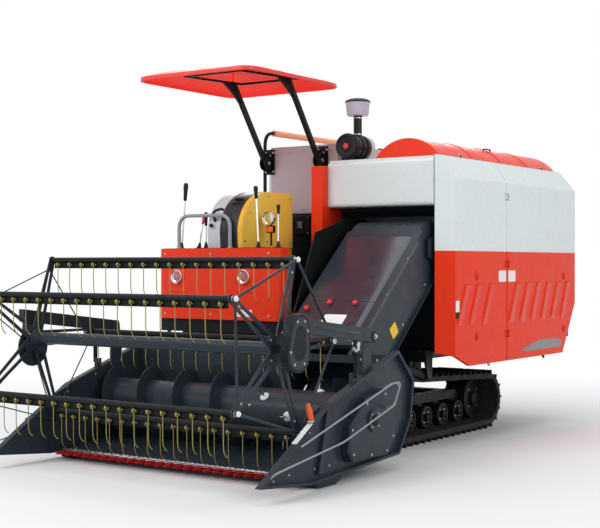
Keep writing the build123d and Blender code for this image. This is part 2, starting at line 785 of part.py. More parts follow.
# Grab rail over the tank, on two stand-offs from its chamfered corner
cover_top = tank_top + tank_lid
rail_top = cover_top + rail_rise
rail_line = [(rail_x, grab_front_y, stand_off_heights[0] - 60), (rail_x, grab_front_y, rail_top),
             (rail_x, grab_rear_y, rail_top), (rail_x, grab_rear_y, cover_top)]
with BuildPart() as tank_rail:
    with BuildLine() as rail_path:
        FilletPolyline(*rail_line, radius=80)
    with BuildSketch(Plane(origin=rail_line[0], z_dir=(0, 0, 1))):
        Circle(grab_radius)
    sweep(path=rail_path.wires()[0])
    rod((rail_x, grab_front_y + 110, rail_top), (rail_x, grab_rear_y - 90, rail_top), sleeve_radius)
    wall_slope = (tank_corner_y - tank_front_y) / (tank_corner_x - tank_right_x)
    wall_y = tank_front_y + (tank_corner_x - rail_x) * wall_slope
    for z in stand_off_heights:
        rod((rail_x, grab_front_y, z), (rail_x, wall_y - 14, z), 10)
save(tank_rail.part, "tank_rail")

# Canopy
with BuildPart() as canopy_posts:
    frame_z = (canopy_rim_z - 10, canopy_rim_z + 20)
    for x in post_xs:
        # Bracket: a back plate and two cheeks with round ends, which hold the post's foot
        block((x - 45, x + 45), (tank_front_y - 8, tank_front_y), (post_foot_z - 80, post_foot_z + 100))
        for way in (-1, 1):
            cheek = sorted((x + way * (post_half + 1), x + way * (post_half + 9)))
            cross_rod(cheek, post_foot_y, post_foot_z, bracket_radius)
            block(cheek, (post_foot_y, tank_front_y - 8), (post_foot_z - bracket_radius, post_foot_z + 80))
        cross_rod((x - post_half - 16, x + post_half + 16), post_foot_y, post_foot_z, 14)
        post_x = (x - post_half, x + post_half)
        side_plate([(post_foot_y - 34, post_foot_z - 20), (post_foot_y + 26, post_foot_z - 20),
                    (post_top_y + 28, frame_z[0]), (post_top_y - 28, frame_z[0])], post_x)
        # Gusset from the post to the frame
        side_plate([(post_top_y + 20, frame_z[0]), (post_top_y - 250, frame_z[0]),
                    (post_top_y + 40, frame_z[0] - 250)], (x - 5, x + 5))
        block((x - frame_half, x + frame_half), (frame_front_y, frame_rear_y), frame_z)
    for y in (frame_front_y, *pad_ys, frame_rear_y):
        block((post_xs[0] - frame_half, post_xs[1] + frame_half), (y - frame_half, y + frame_half), frame_z)
    # Pads under the roof's crown
    for x in pad_xs:
        for y in pad_ys:
            block((x - 25, x + 25), (y - 15, y + 15), (frame_z[1], canopy_crown_z - roof_drop))
save(canopy_posts.part, "canopy_posts")

with BuildPart() as canopy_roof:
    wide = canopy_left_x - canopy_right_x
    deep = canopy_rear_y - canopy_front_y
    middle = ((canopy_left_x + canopy_right_x) / 2, (canopy_front_y + canopy_rear_y) / 2)
    rise = canopy_crown_z - canopy_rim_z
    for inset, drop, mode in ((0, 0, Mode.ADD), (canopy_wall, roof_drop, Mode.SUBTRACT)):
        for low, low_share, high, high_share in ((0, 1.0, 0.55, 0.86), (0.55, 0.86, 1.0, 0.5)):
            for height, share in ((low, low_share), (high, high_share)):
                with BuildSketch(Plane.XY.offset(canopy_rim_z + rise * height - drop)):
                    with Locations(middle):
                        RectangleRounded(wide * share - 2 * inset, deep * share - 2 * inset,
                                         canopy_corner * share)
            loft(mode=mode)
save(canopy_roof.part, "canopy_roof")

# Air cleaner, its pipe and pre-cleaner bowl
with BuildPart() as air_intake:
    drum_z = deck_z + drum_radius + drum_rise
    rod((drum_x, drum_front_y, drum_z), (drum_x, drum_front_y + drum_length, drum_z), drum_radius)
    for share in band_shares:
        band_y = drum_front_y + drum_length * share
        rod((drum_x, band_y, drum_z), (drum_x, band_y + band_width, drum_z), drum_radius + drum_band)
        block((drum_x - 50, drum_x + 50), (band_y, band_y + band_width), (deck_z, drum_z))
    rod((pipe_x, pipe_y, drum_z), (pipe_x, pipe_y, bowl_low), pipe_radius)
    with BuildSketch(Plane.XY.offset(bowl_low)):
        with Locations((pipe_x, pipe_y)):
            Circle(bowl_radius - 15)
    with BuildSketch(Plane.XY.offset(bowl_high)):
        with Locations((pipe_x, pipe_y)):
            Circle(bowl_radius)
    loft()
    with BuildSketch(Plane.XY.offset(bowl_high)):
        with Locations((pipe_x, pipe_y)):
            Circle(bowl_radius + 3)
    with BuildSketch(Plane.XY.offset(bowl_high + 32)):
        with Locations((pipe_x, pipe_y)):
            Circle(bowl_radius - 30)
    loft()
save(air_intake.part, "air_intake")

# Straw hood at the rear
with BuildPart() as straw_hood:
    side_plate([(case_rear_y, straw_low), (hitch_reach_y, straw_low), (hitch_reach_y, straw_lip),
                (case_rear_y, straw_high)], straw_xs)
save(straw_hood.part, "straw_hood")

# Unloading auger: a fixed column and a boom that swings on its top
column_y = tank_rear_y + column_gap + column_radius
with BuildPart() as unload_column:
    rod((column_x, column_y, column_low), (column_x, column_y, column_top), column_radius)
    rod((column_x, column_y, column_top - 14), (column_x, column_y, column_top), column_radius + 4)
    block((column_x - 80, column_x + 80), (tank_rear_y, column_y + 60), (deck_high, column_low + 100))
save(unload_column.part, "unload_column")

with BuildPart() as unload_boom:
    rod((column_x, column_y, column_top + 1), (column_x, column_y, boom_z), column_radius)
    with Locations((column_x, column_y, boom_z)):
        Sphere(column_radius)
    rod((column_x, column_y, boom_z), (boom_end_x, column_y, boom_z), boom_radius)
    # Spout, open downward
    spout_x = (boom_end_x - spout_length - 10, boom_end_x - 10)
    spout_low = boom_z - boom_radius - spout_drop
    spout_half = boom_radius - spout_wall
    block(spout_x, (column_y - boom_radius, column_y + boom_radius), (spout_low, boom_z))
    block((spout_x[0] + spout_wall, spout_x[1] - spout_wall), (column_y - spout_half, column_y + spout_half),
          (spout_low - 1, boom_z - 20), Mode.SUBTRACT)
save(unload_boom.part, "unload_boom")

# Feeder house: a slanted box, rounded about its pivot at the upper end
slope = math.radians(feeder_slope)
along = (math.cos(slope), math.sin(slope))
across = (-math.sin(slope), math.cos(slope))


def feeder_outline(depth, front):
    """Upper and lower corners at the header's wall, and the tangent points of the round end."""
    top_y = lift_y + depth * across[0]
    top_z = lift_z + depth * across[1]
    low_y = lift_y - depth * across[0]
    low_z = lift_z - depth * across[1]
    front_top_z = top_z + (front - top_y) * math.tan(slope)
    front_low_z = low_z + (front - low_y) * math.tan(slope)
    return (front, front_top_z), (top_y, top_z), (low_y, low_z), (front, front_low_z)


with BuildPart() as feeder_house:
    for inset in (0, feeder_wall):
        depth = feeder_half_depth - inset
        corner_top, round_top, round_low, corner_low = feeder_outline(depth, header_rear_y - inset)
        end = (lift_y + depth * along[0], lift_z + depth * along[1])
        with BuildSketch(Plane.YZ.offset(feeder_right_x + inset)):
            with BuildLine():
                Line(corner_top, round_top)
                ThreePointArc(round_top, end, round_low)
                Line(round_low, corner_low)
                Line(corner_low, corner_top)
            make_face()
        extrude(amount=feeder_left_x - feeder_right_x - 2 * inset, mode=Mode.SUBTRACT if inset else Mode.ADD)
    # Flanges along the slope, a raised cover and cross ribs on the upper side
    middle_x = (feeder_right_x + feeder_left_x) / 2
    wide = feeder_left_x - feeder_right_x
    run = (lift_y - header_rear_y) / along[0] - 60
    for share_z, height in ((feeder_half_depth, 1), (-feeder_half_depth, -1)):
        start = Vector(0, lift_y, lift_z) - Vector(0, *along) * (run / 2 + 30) + Vector(0, *across) * share_z
        with Locations(Plane(origin=start, x_dir=(1, 0, 0), z_dir=(0, *across))):
            for x in (feeder_right_x - flange_reach / 2, feeder_left_x + flange_reach / 2):
                with Locations((x, 0, -height * flange_thickness / 2)):
                    Box(flange_reach + 4, run, flange_thickness)
    lid = Vector(middle_x, lift_y, lift_z) - Vector(0, *along) * (run / 2)
    lid += Vector(0, *across) * feeder_half_depth
    with Locations(Plane(origin=lid, x_dir=(1, 0, 0), z_dir=(0, *across))):
        with Locations((0, 40, 0)):
            Box(wide - 90, run - 260, 2 * lid_height)
        with Locations((0, -run / 2 + 60, 0)):
            Box(wide, 40, 2 * lid_height + 20)
    for inner in (feeder_right_x, feeder_left_x):
        cross_rod((inner - 20, inner + 20), lift_y, lift_z, 30 + pin_clearance, Mode.SUBTRACT)
    # Lug of the lift cylinder
    lug_top = lift_z + (eye_y - lift_y) * math.tan(slope) - feeder_half_depth / math.cos(slope) + 20
    side_plate([(eye_y - lug_half, eye_z), (eye_y - lug_half, lug_top), (eye_y + lug_half, lug_top + 40),
                (eye_y + lug_half, eye_z)], (cylinder_x - 10, cylinder_x + 10))
    cross_rod((cylinder_x - 10, cylinder_x + 10), eye_y, eye_z, lug_half)
    cross_rod((cylinder_x - 11, cylinder_x + 11), eye_y, eye_z, eye_radius + linkage_play, Mode.SUBTRACT)
save(feeder_house.part, "feeder_house")

# Header pan: floor, trough round the auger, rear wall with the mouth of the feeder, two end sheets
mouth_top, round_top, round_low, mouth_low = feeder_outline(feeder_half_depth - feeder_wall, header_rear_y)
with BuildPart() as header_pan:
    rear_y = auger_y + trough_radius
    with BuildSketch(Plane.YZ.offset(-header_half)):
        with BuildLine():
            start = (auger_y + trough_radius * math.cos(math.radians(262)),
                     auger_z + trough_radius * math.sin(math.radians(262)))
            dip = (auger_y + trough_radius * math.cos(math.radians(311)),
                   auger_z + trough_radius * math.sin(math.radians(311)))
            Line((floor_front_y, floor_front_z), start)
            ThreePointArc(start, dip, (rear_y, auger_z))
            Line((rear_y, auger_z), (rear_y, header_top))
            Line((rear_y, header_top), (rear_y + sheet, header_top))
            Line((rear_y + sheet, header_top), (rear_y + sheet, auger_z))
            outer = trough_radius + sheet
            outer_start = (auger_y + outer * math.cos(math.radians(262)),
                           auger_z + outer * math.sin(math.radians(262)))
            outer_dip = (auger_y + outer * math.cos(math.radians(311)),
                         auger_z + outer * math.sin(math.radians(311)))
            ThreePointArc((rear_y + sheet, auger_z), outer_dip, outer_start)
            Line(outer_start, (floor_front_y, floor_front_z - sheet))
            Line((floor_front_y, floor_front_z - sheet), (floor_front_y, floor_front_z))
        make_face()
    extrude(amount=2 * header_half)
    for span in ((-header_half, feeder_right_x - 1), (feeder_left_x + 1, header_half)):
        block(span, (rear_y, rear_y + 60), (header_top - 50, header_top + 10))
    block((feeder_right_x + feeder_wall, feeder_left_x - feeder_wall), (rear_y - 1, rear_y + sheet + 1),
          (mouth_low[1], min(mouth_top[1], header_top - 50)), Mode.SUBTRACT)
    end_outline = [(floor_front_y, 42), (-1725, 42), (-1725, 410), (-1545, 480), (-860, header_top),
                   (rear_y + 60, header_top + 10), (rear_y + 60, 80)]
    for x in ((-header_half - sheet, -header_half), (header_half, header_half + sheet)):
        side_plate(end_outline, x)
        cross_rod((x[0] - 1, x[1] + 1), auger_y, auger_z, auger_shaft_radius + pin_clearance, Mode.SUBTRACT)
    # Skid shoes
    for way in (-1, 1):
        skid_x = sorted((way * (header_half - 60), way * (header_half + sheet)))
        side_plate([(floor_front_y + 2, floor_front_z + 4), (floor_front_y + 20, 8),
                    (floor_front_y + 50, 0.5), (floor_front_y + 210, 0.5), (floor_front_y + 260, 20),
                    (floor_front_y + 300, 60)], skid_x)
save(header_pan.part, "header_pan")

# Divider noses outside the end sheets, with their wire guards
guard_outline = [(-1380, 180), (-1330, 120), (-940, 120), (-850, 210), (-850, 430), (-960, 520), (-1180, 480),
                 (-1360, 330)]
divider_outline = [(-2205, 88), (-1725, 42), (-745, 95), (-600, 300), (-565, 550), (-755, 740), (-1545, 480)]
wire_points = [(67, -2110, 160), (97, -1480, 260), (127, -960, 425), (127, -880, 560), (112, -960, 555),
               (67, -1870, 275)]
for side, way in (("left", 1), ("right", -1)):
    with BuildPart() as divider:
        inner = header_half + sheet
        side_plate(divider_outline, sorted((way * inner, way * (inner + divider_skin))))
        with BuildSketch(Plane.YZ.offset(way * inner)):
            Polygon(*divider_outline, align=None)
            offset(amount=-divider_rim, kind=Kind.INTERSECTION, mode=Mode.SUBTRACT)
        extrude(amount=way * divider_thickness)
        # Guard over the drive of the auger and knife, with a boss at the auger's shaft
        with BuildSketch(Plane.YZ.offset(way * inner)):
            Polygon(*guard_outline, align=None)
        guard_reach = guard_reach_left if way > 0 else guard_reach_right
        extrude(amount=way * guard_reach)
        face = divider.faces().sort_by(Axis.X)[-1 if way > 0 else 0]
        chamfer(face.edges(), 10)
        cross_rod(sorted((way * inner, way * (inner + guard_reach + 12))), auger_y, auger_z, 70)
        # Ear that carries the reel arm's pivot
        side_plate([(arm_pivot_y - 60, 600), (arm_pivot_y + 60, 620), (arm_pivot_y + 30, arm_pivot_z + 30),
                    (arm_pivot_y - 30, arm_pivot_z + 30)], sorted((way * inner, way * (inner + 10))))
        cross_rod(sorted((way * inner, way * (arm_inner_x + arm_width + 6))), arm_pivot_y, arm_pivot_z,
                  arm_pin_radius)
        # Foot of the reel cylinder
        foot_x = arm_inner_x + arm_width / 2
        block(sorted((way * inner, way * (foot_x - 9))), (reel_foot_y - 20, reel_foot_y + 20),
              (reel_foot_z - 80, reel_foot_z + 16))
        pin_x = sorted((way * (foot_x - 10), way * (foot_x + 12)))
        cross_rod(pin_x, reel_foot_y, reel_foot_z, reel_pin_radius)
        start = (way * (inner + divider_thickness - 5), -2110, 130)
        points = [start] + [(way * (inner + x), y, z) for x, y, z in wire_points]
        with BuildLine() as wire:
            FilletPolyline(*points, radius=30)
        with BuildSketch(Plane(origin=points[0], z_dir=Vector(*points[1]) - Vector(*points[0]))):
            Circle(wire_radius)
        sweep(path=wire.wires()[0])
        for x, y, z in (wire_points[2], wire_points[4]):
            rod((way * (inner + 20), y, z - 40), (way * (inner + x - 2), y, z), wire_radius + 1)
    save(divider.part, f"divider_{side}")

# Cutter bar: a flat bar with pointed guards, and the knife between them
with BuildPart() as cutter_bar:
    bar_y = (guard_tip_y + guard_length, floor_front_y)
    block((-header_half, header_half), bar_y, (guard_bar_low, guard_bar_high))
    root_y = bar_y[0] + 20
    fork_y = bar_y[0] - 40
    for i in range(guard_count):
        x = (i - (guard_count - 1) / 2) * guard_pitch
        plan_plate([(x - 13, root_y), (x - 11, fork_y), (x, guard_tip_y), (x + 11, fork_y), (x + 13, root_y)],
                   (guard_bar_low, guard_point_high))
save(cutter_bar.part, "cutter_bar")

with BuildPart() as knife:
    block((-header_half + 30, header_half - 30), (bar_y[0] + 5, bar_y[0] + 25), (knife_low, knife_high))
    heel_y = bar_y[0] + 6
    tip_y = bar_y[0] - 52
    for i in range(guard_count - 1):
        x = (i - (guard_count - 2) / 2) * guard_pitch
        plan_plate([(x - 36, heel_y), (x - 8, tip_y), (x + 8, tip_y), (x + 36, heel_y)],
                   (knife_low, knife_low + blade_thickness))
save(knife.part, "knife")

# Header auger: a tube with two screws that meet in front of the feeder
with BuildPart() as auger:
    tube_end = header_half - auger_end_gap
    cross_rod((-tube_end, tube_end), auger_y, auger_z, auger_tube_radius)
    cross_rod((-header_half - sheet + 1, header_half + sheet - 1), auger_y, auger_z, auger_shaft_radius)
    for start_x, end_x, hand in ((-tube_end + 5, feeder_right_x, 1), (tube_end - 5, feeder_left_x, -1)):
        reach = abs(end_x - start_x)
        turns = max(1, round(reach / flight_pitch * 2)) / 2
        with BuildLine() as screw:
            Helix(pitch=reach / turns, height=reach, radius=auger_tube_radius,
                  center=(start_x, auger_y, auger_z), direction=(hand, 0, 0), lefthand=hand < 0)
        start = screw.line @ 0
        outward = (Vector(start_x, auger_y, auger_z) - start) * -1
        with BuildSketch(Plane(origin=start, x_dir=outward, z_dir=screw.line % 0)):
            with Locations(((flight_radius - auger_tube_radius) / 2 - 2, 0)):
                Rectangle(flight_radius - auger_tube_radius + 4, flight_thickness)
        sweep(path=screw.line, is_frenet=True)
    # Fingers between the screws feed the crop into the feeder house
    for i in range(finger_count):
        x = feeder_right_x + (i + 0.5) * (feeder_left_x - feeder_right_x) / finger_count
        turn = math.radians(finger_step * i)
        tip = Vector(x, auger_y + flight_radius * math.cos(turn), auger_z + flight_radius * math.sin(turn))
        rod((x, auger_y, auger_z), tuple(tip), finger_radius)
save(auger.part, "auger")

# Reel arms with the round belt cover
with BuildPart() as reel_arms:
    for way in (-1, 1):
        span = sorted((way * arm_inner_x, way * (arm_inner_x + arm_width)))
        half_depth = arm_depth / 2
        side_plate([(arm_pivot_y + half_depth, arm_pivot_z - half_depth),
                    (arm_pivot_y + half_depth, arm_pivot_z + half_depth),
                    (arm_front_y, arm_front_z + half_depth), (arm_front_y, arm_front_z - half_depth)], span)
        cross_rod((span[0] - 1, span[1] + 1), arm_pivot_y, arm_pivot_z, arm_pin_radius + pin_clearance,
                  Mode.SUBTRACT)
        hanger = sorted((way * (arm_inner_x - 18), way * (arm_inner_x + 10)))
        side_plate([(reel_y - 45, reel_z - 45), (reel_y + 45, reel_z - 45), (reel_y + 45, arm_front_z - 10),
                    (reel_y - 30, arm_front_z - 10)], hanger)
        cross_rod((hanger[0] - 1, hanger[1] + 1), reel_y, reel_z, reel_shaft_radius + pin_clearance,
                  Mode.SUBTRACT)
        # Lug of the reel cylinder
        lug_x = sorted((way * (arm_inner_x + 13), way * (arm_inner_x + 33)))
        block(lug_x, (reel_foot_y - 20, reel_foot_y + 20), (reel_eye_z - 18, reel_eye_z + 40))
        cross_rod(sorted((way * (arm_inner_x + 10), way * (arm_inner_x + 36))), reel_foot_y, reel_eye_z,
                  reel_pin_radius + reel_play, Mode.SUBTRACT)
    # Belt cover over the reel's left end, up to the arm
    with BuildSketch(Plane.YZ.offset(arm_inner_x + 10)):
        with BuildSketch(mode=Mode.PRIVATE) as belt_cover:
            with Locations((reel_y, reel_z - 20)):
                Circle(cover_radius)
            with Locations((reel_y + 20, arm_front_z - 20)):
                Circle(cover_radius * 0.75)
            make_hull(belt_cover.sketch.edges(), mode=Mode.REPLACE)
        add(belt_cover.sketch)
    extrude(amount=arm_width + 8)
    # Cam disc that holds the tine ring off centre, at the right end
    cam_x = -(spider_x + spider_thickness + 2 * ring_gap + crank_thickness)
    cross_rod((cam_x - ring_thickness, cam_x), reel_y, reel_z - crank_offset, cam_radius - pin_clearance)
    cross_rod((-arm_inner_x + 18, cam_x), reel_y, reel_z - crank_offset, cam_radius - 35)
    cross_rod((-arm_inner_x - 1, cam_x + 1), reel_y, reel_z, reel_shaft_radius + 4, Mode.SUBTRACT)
save(reel_arms.part, "reel_arms")

bar_places = []
for i in range(bar_count):
    angle = math.radians(bar_first_angle + 360 / bar_count * i)
    bar_places.append((reel_y + bar_radius_of_reel * math.cos(angle),
                       reel_z + bar_radius_of_reel * math.sin(angle)))

with BuildPart() as reel_rotor:
    cross_rod((-arm_inner_x - 10, arm_inner_x + 8), reel_y, reel_z, reel_shaft_radius)
    cross_rod((-spider_x, spider_x), reel_y, reel_z, reel_tube_radius)
    with BuildSketch(Plane.YZ, mode=Mode.PRIVATE) as spider:
        with Locations((reel_y, reel_z)):
            Circle(spider_hub_radius)
            # Each arm tapers to its tip, and so does the slot in it
            for i in range(bar_count):
                with Locations(Rotation(0, 0, bar_first_angle + 360 / bar_count * i)):
                    Polygon((0, -spider_root), (bar_radius_of_reel, -spider_tip),
                            (bar_radius_of_reel, spider_tip), (0, spider_root), align=None)
                    with Locations((bar_radius_of_reel, 0)):
                        Circle(spider_tip + 2)
                        Circle(bar_pin_radius + pin_clearance, mode=Mode.SUBTRACT)
                    Polygon((spider_hub_radius + 35, -slot_root), (bar_radius_of_reel - 60, -slot_tip),
                            (bar_radius_of_reel - 60, slot_tip), (spider_hub_radius + 35, slot_root),
                            align=None, mode=Mode.SUBTRACT)
    for way in (-1, 1):
        with Locations(((way * (spider_x + spider_thickness / 2) - spider_thickness / 2), 0, 0)):
            add(extrude(spider.sketch, amount=spider_thickness, mode=Mode.PRIVATE))
    # Stays round the rim, on posts outside the left spider
    stay_x = spider_x + spider_thickness + 22
    for i, (y, z) in enumerate(bar_places):
        next_y, next_z = bar_places[(i + 1) % bar_count]
        direction = Vector(y - reel_y, z - reel_z).normalized()
        rod((stay_x, y, z), (stay_x, next_y, next_z), 8)
        cross_rod((spider_x + spider_thickness - 2, stay_x), y - direction.X * 17, z - direction.Y * 17, 5)
    for y, z in bar_places:
        with Locations((stay_x, y, z)):
            Sphere(15)
save(reel_rotor.part, "reel_rotor")

# One tine bar about its own axis: tube, strip, pins, crank and tines with their spring coils
tine_xs = [(k - (tine_count - 1) / 2) * tine_pitch for k in range(tine_count)]
crank_x = -(spider_x + spider_thickness + ring_gap)
tine_y = -tine_coil_radius
hook_top = -tine_drop
with BuildPart() as bar:
    cross_rod((-bar_half_length, bar_half_length), 0, 0, bar_tube_radius)
    block((-bar_half_length, bar_half_length), (-4, 4), (-strip_drop, 0))
    cross_rod((bar_half_length, spider_x + spider_thickness + 4), 0, 0, bar_pin_radius)
    cross_rod((crank_x - crank_thickness, -bar_half_length), 0, 0, bar_pin_radius)
    block((crank_x - crank_thickness, crank_x), (-14, 14), (-crank_offset - 14, 14))
    cross_rod((crank_x - crank_thickness - ring_gap - ring_thickness, crank_x), 0, -crank_offset,
              ring_pin_radius)
    straight = (hook_top - tine_top) / 2
    with Locations(*[(x, tine_y, straight) for x in tine_xs]):
        Cylinder(tine_radius, -tine_top - hook_top)
    hook = Vector(0, tine_hook, -tine_hook)
    with Locations(*[Plane(origin=Vector(x, tine_y, hook_top) + hook * 0.5, z_dir=hook) for x in tine_xs]):
        Cylinder(tine_radius, hook.length)
    with Locations(*[Location((x, tine_y - 3, -24), (0, 90, 0)) for x in tine_xs]):
        Cylinder(tine_coil_radius, 24)
for i, (y, z) in enumerate(bar_places):
    save(bar.part.moved(Location((0, y, z))), f"reel_bar_{i + 1}")

with BuildPart() as tine_ring:
    ring_x = (cam_x - ring_thickness, cam_x)
    cross_rod(ring_x, reel_y, reel_z - crank_offset, cam_radius + 28)
    for y, z in bar_places:
        rod((cam_x - ring_thickness / 2, reel_y, reel_z - crank_offset),
            (cam_x - ring_thickness / 2, y, z - crank_offset), ring_thickness / 2)
        cross_rod(ring_x, y, z - crank_offset, 18)
    for i, (y, z) in enumerate(bar_places):
        next_y, next_z = bar_places[(i + 1) % bar_count]
        rod((cam_x - ring_thickness / 2, y, z - crank_offset),
            (cam_x - ring_thickness / 2, next_y, next_z - crank_offset), ring_thickness / 2)
    for y, z in bar_places:
        cross_rod(ring_x, y, z - crank_offset, ring_pin_radius + pin_clearance, Mode.SUBTRACT)
    cross_rod((ring_x[0] - 1, ring_x[1] + 1), reel_y, reel_z - crank_offset, cam_radius, Mode.SUBTRACT)
save(tine_ring.part, "tine_ring")

# Lift cylinder under the feeder house
foot = Vector(cylinder_x, foot_y, foot_z)
eye = Vector(cylinder_x, eye_y, eye_z)
push = (eye - foot).normalized()
lift_closed = (eye - foot).length - lift_dead_length
with BuildPart() as lift_barrel:
    rod(tuple(foot), tuple(foot + push * (lift_closed - 60)), barrel_radius)
    cross_rod((cylinder_x - barrel_radius, cylinder_x + barrel_radius), foot.Y, foot.Z, barrel_radius + 2)
    cross_rod((cylinder_x - barrel_radius - 1, cylinder_x + barrel_radius + 1), foot.Y, foot.Z,
              foot_pin_radius + pin_clearance, Mode.SUBTRACT)
    rod(tuple(foot + push * 60), tuple(foot + push * (lift_closed - 59)), lift_rod_radius + pin_clearance,
        Mode.SUBTRACT)
save(lift_barrel.part, "lift_barrel")

with BuildPart() as lift_rod:
    rod(tuple(foot + push * 80), tuple(eye - push * 40), lift_rod_radius)
    for way in (-1, 1):
        inner = cylinder_x + way * rod_ear_gap
        cross_rod(sorted((inner, inner + way * rod_ear_thickness)), eye.Y, eye.Z, rod_ear_radius)
        ear_middle = Vector(way * (rod_ear_gap + rod_ear_thickness / 2), 0, 0)
        with Locations(Plane(origin=eye - push * 26 + ear_middle, x_dir=(1, 0, 0), z_dir=push)):
            Box(rod_ear_thickness, 40, 52)
    ear_reach = rod_ear_gap + rod_ear_thickness
    with Locations(Plane(origin=eye - push * 44, x_dir=(1, 0, 0), z_dir=push)):
        Box(2 * ear_reach, 40, 16)
    cross_rod((cylinder_x - ear_reach, cylinder_x + ear_reach), eye.Y, eye.Z, eye_radius)
save(lift_rod.part, "lift_rod")

for side, way in (("left", 1), ("right", -1)):
    x = way * (arm_inner_x + arm_width / 2)
    with BuildPart() as reel_barrel:
        eye_x = (x - reel_eye_half, x + reel_eye_half)
        rod((x, reel_foot_y, reel_foot_z + reel_barrel_low), (x, reel_foot_y, reel_foot_z + reel_barrel_high),
            reel_barrel_radius)
        cross_rod(eye_x, reel_foot_y, reel_foot_z, reel_barrel_radius)
        block(eye_x, (reel_foot_y - 12, reel_foot_y + 12), (reel_foot_z, reel_foot_z + reel_barrel_low + 5))
        cross_rod((x - 20, x + 20), reel_foot_y, reel_foot_z, reel_pin_radius + pin_clearance, Mode.SUBTRACT)
        rod((x, reel_foot_y, reel_foot_z + reel_barrel_low + 5),
            (x, reel_foot_y, reel_foot_z + reel_barrel_high + 1), reel_rod_radius + pin_clearance,
            Mode.SUBTRACT)
    save(reel_barrel.part, f"reel_barrel_{side}")
    with BuildPart() as reel_rod:
        fork_low = reel_eye_z - fork_drop
        fork_y = (reel_foot_y - 10, reel_foot_y + 10)
        rod((x, reel_foot_y, reel_foot_z + 40), (x, reel_foot_y, fork_low + 8), reel_rod_radius)
        for hand in (-1, 1):
            inner = x + hand * fork_gap
            cheek = sorted((inner, inner + hand * fork_thickness))
            cross_rod(cheek, reel_foot_y, reel_eye_z, 16)
            block(cheek, fork_y, (fork_low, reel_eye_z))
        fork_reach = fork_gap + fork_thickness
        block((x - fork_reach, x + fork_reach), fork_y, (fork_low, fork_low + 10))
        cross_rod((x - fork_reach, x + fork_reach), reel_foot_y, reel_eye_z, reel_pin_radius)
    save(reel_rod.part, f"reel_rod_{side}")
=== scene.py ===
import json
import math

import bmesh
import bpy
from mathutils import Matrix, Vector
from mathutils.bvhtree import BVHTree


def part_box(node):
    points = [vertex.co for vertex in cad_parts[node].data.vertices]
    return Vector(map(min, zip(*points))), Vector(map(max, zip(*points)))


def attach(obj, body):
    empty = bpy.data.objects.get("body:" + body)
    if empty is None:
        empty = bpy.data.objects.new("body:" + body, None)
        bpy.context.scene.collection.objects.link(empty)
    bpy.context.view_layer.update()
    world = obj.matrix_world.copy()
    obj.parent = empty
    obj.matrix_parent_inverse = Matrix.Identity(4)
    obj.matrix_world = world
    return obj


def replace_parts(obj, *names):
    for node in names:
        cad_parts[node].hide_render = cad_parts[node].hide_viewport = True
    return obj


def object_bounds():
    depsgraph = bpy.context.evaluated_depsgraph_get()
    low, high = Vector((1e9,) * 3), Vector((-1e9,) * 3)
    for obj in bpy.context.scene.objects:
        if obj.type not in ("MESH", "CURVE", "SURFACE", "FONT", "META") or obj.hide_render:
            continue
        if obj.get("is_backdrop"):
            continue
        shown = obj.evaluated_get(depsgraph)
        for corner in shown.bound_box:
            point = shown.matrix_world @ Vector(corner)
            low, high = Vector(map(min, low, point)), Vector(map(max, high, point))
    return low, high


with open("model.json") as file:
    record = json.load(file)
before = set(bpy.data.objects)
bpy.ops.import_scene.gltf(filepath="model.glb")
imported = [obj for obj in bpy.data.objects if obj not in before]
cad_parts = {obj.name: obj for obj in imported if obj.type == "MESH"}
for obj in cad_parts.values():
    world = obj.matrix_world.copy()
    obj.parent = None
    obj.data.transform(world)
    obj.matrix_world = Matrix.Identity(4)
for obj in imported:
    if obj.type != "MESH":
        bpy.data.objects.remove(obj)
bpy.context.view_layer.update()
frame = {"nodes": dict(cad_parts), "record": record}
nodes = frame["nodes"]
# Directions, and places that the pieces below share with the CAD model, in metres
LEFT, RIGHT, FRONT, REAR, TOP = (1, 0, 0), (-1, 0, 0), (0, -1, 0), (0, 1, 0), (0, 0, 1)
SIDE_X = 0.95
WIRE_X = 1.1443
DRIVE_X = 1.0985
TONE_Z = 1.372
AUGER = Vector((0, -1.105, 0.345))
COLUMN = (-0.8, 2.262)
POSTS_X = (-0.67, -0.18)
REEL = Vector((0.0, -1.9, 0.81))
BAR_RADIUS = 0.515
BAR_FIRST = 146.0
BAR_COUNT = 5
BAR_HALF = 0.945
CRANK = 0.06


class Tree:
    """The nodes of a material or a world."""

    def __init__(self, owner):
        owner.use_nodes = True
        self.tree = owner.node_tree

    def feed(self, node, sockets):
        """Gives a node's inputs numbers, colours or other nodes' outputs."""
        for key, value in sockets.items():
            socket = node.inputs[key]
            if isinstance(value, bpy.types.NodeSocket):
                self.tree.links.new(value, socket)
            else:
                socket.default_value = (*value, 1.0) if socket.type == "RGBA" else value
        return node

    def node(self, kind, sockets=None, **settings):
        made = self.tree.nodes.new("ShaderNode" + kind)
        for key, value in settings.items():
            setattr(made, key, value)
        return self.feed(made, sockets or {})

    def math(self, operation, *values):
        return self.node("Math", dict(enumerate(values)), operation=operation).outputs[0]

    def blend(self, share, first, second, output):
        """Shows the first shader where the share is 0 and the second where it is 1."""
        mixed = self.node("MixShader", {0: share, 1: first.outputs[0], 2: second.outputs[0]})
        self.node(output, {"Surface": mixed.outputs[0]})


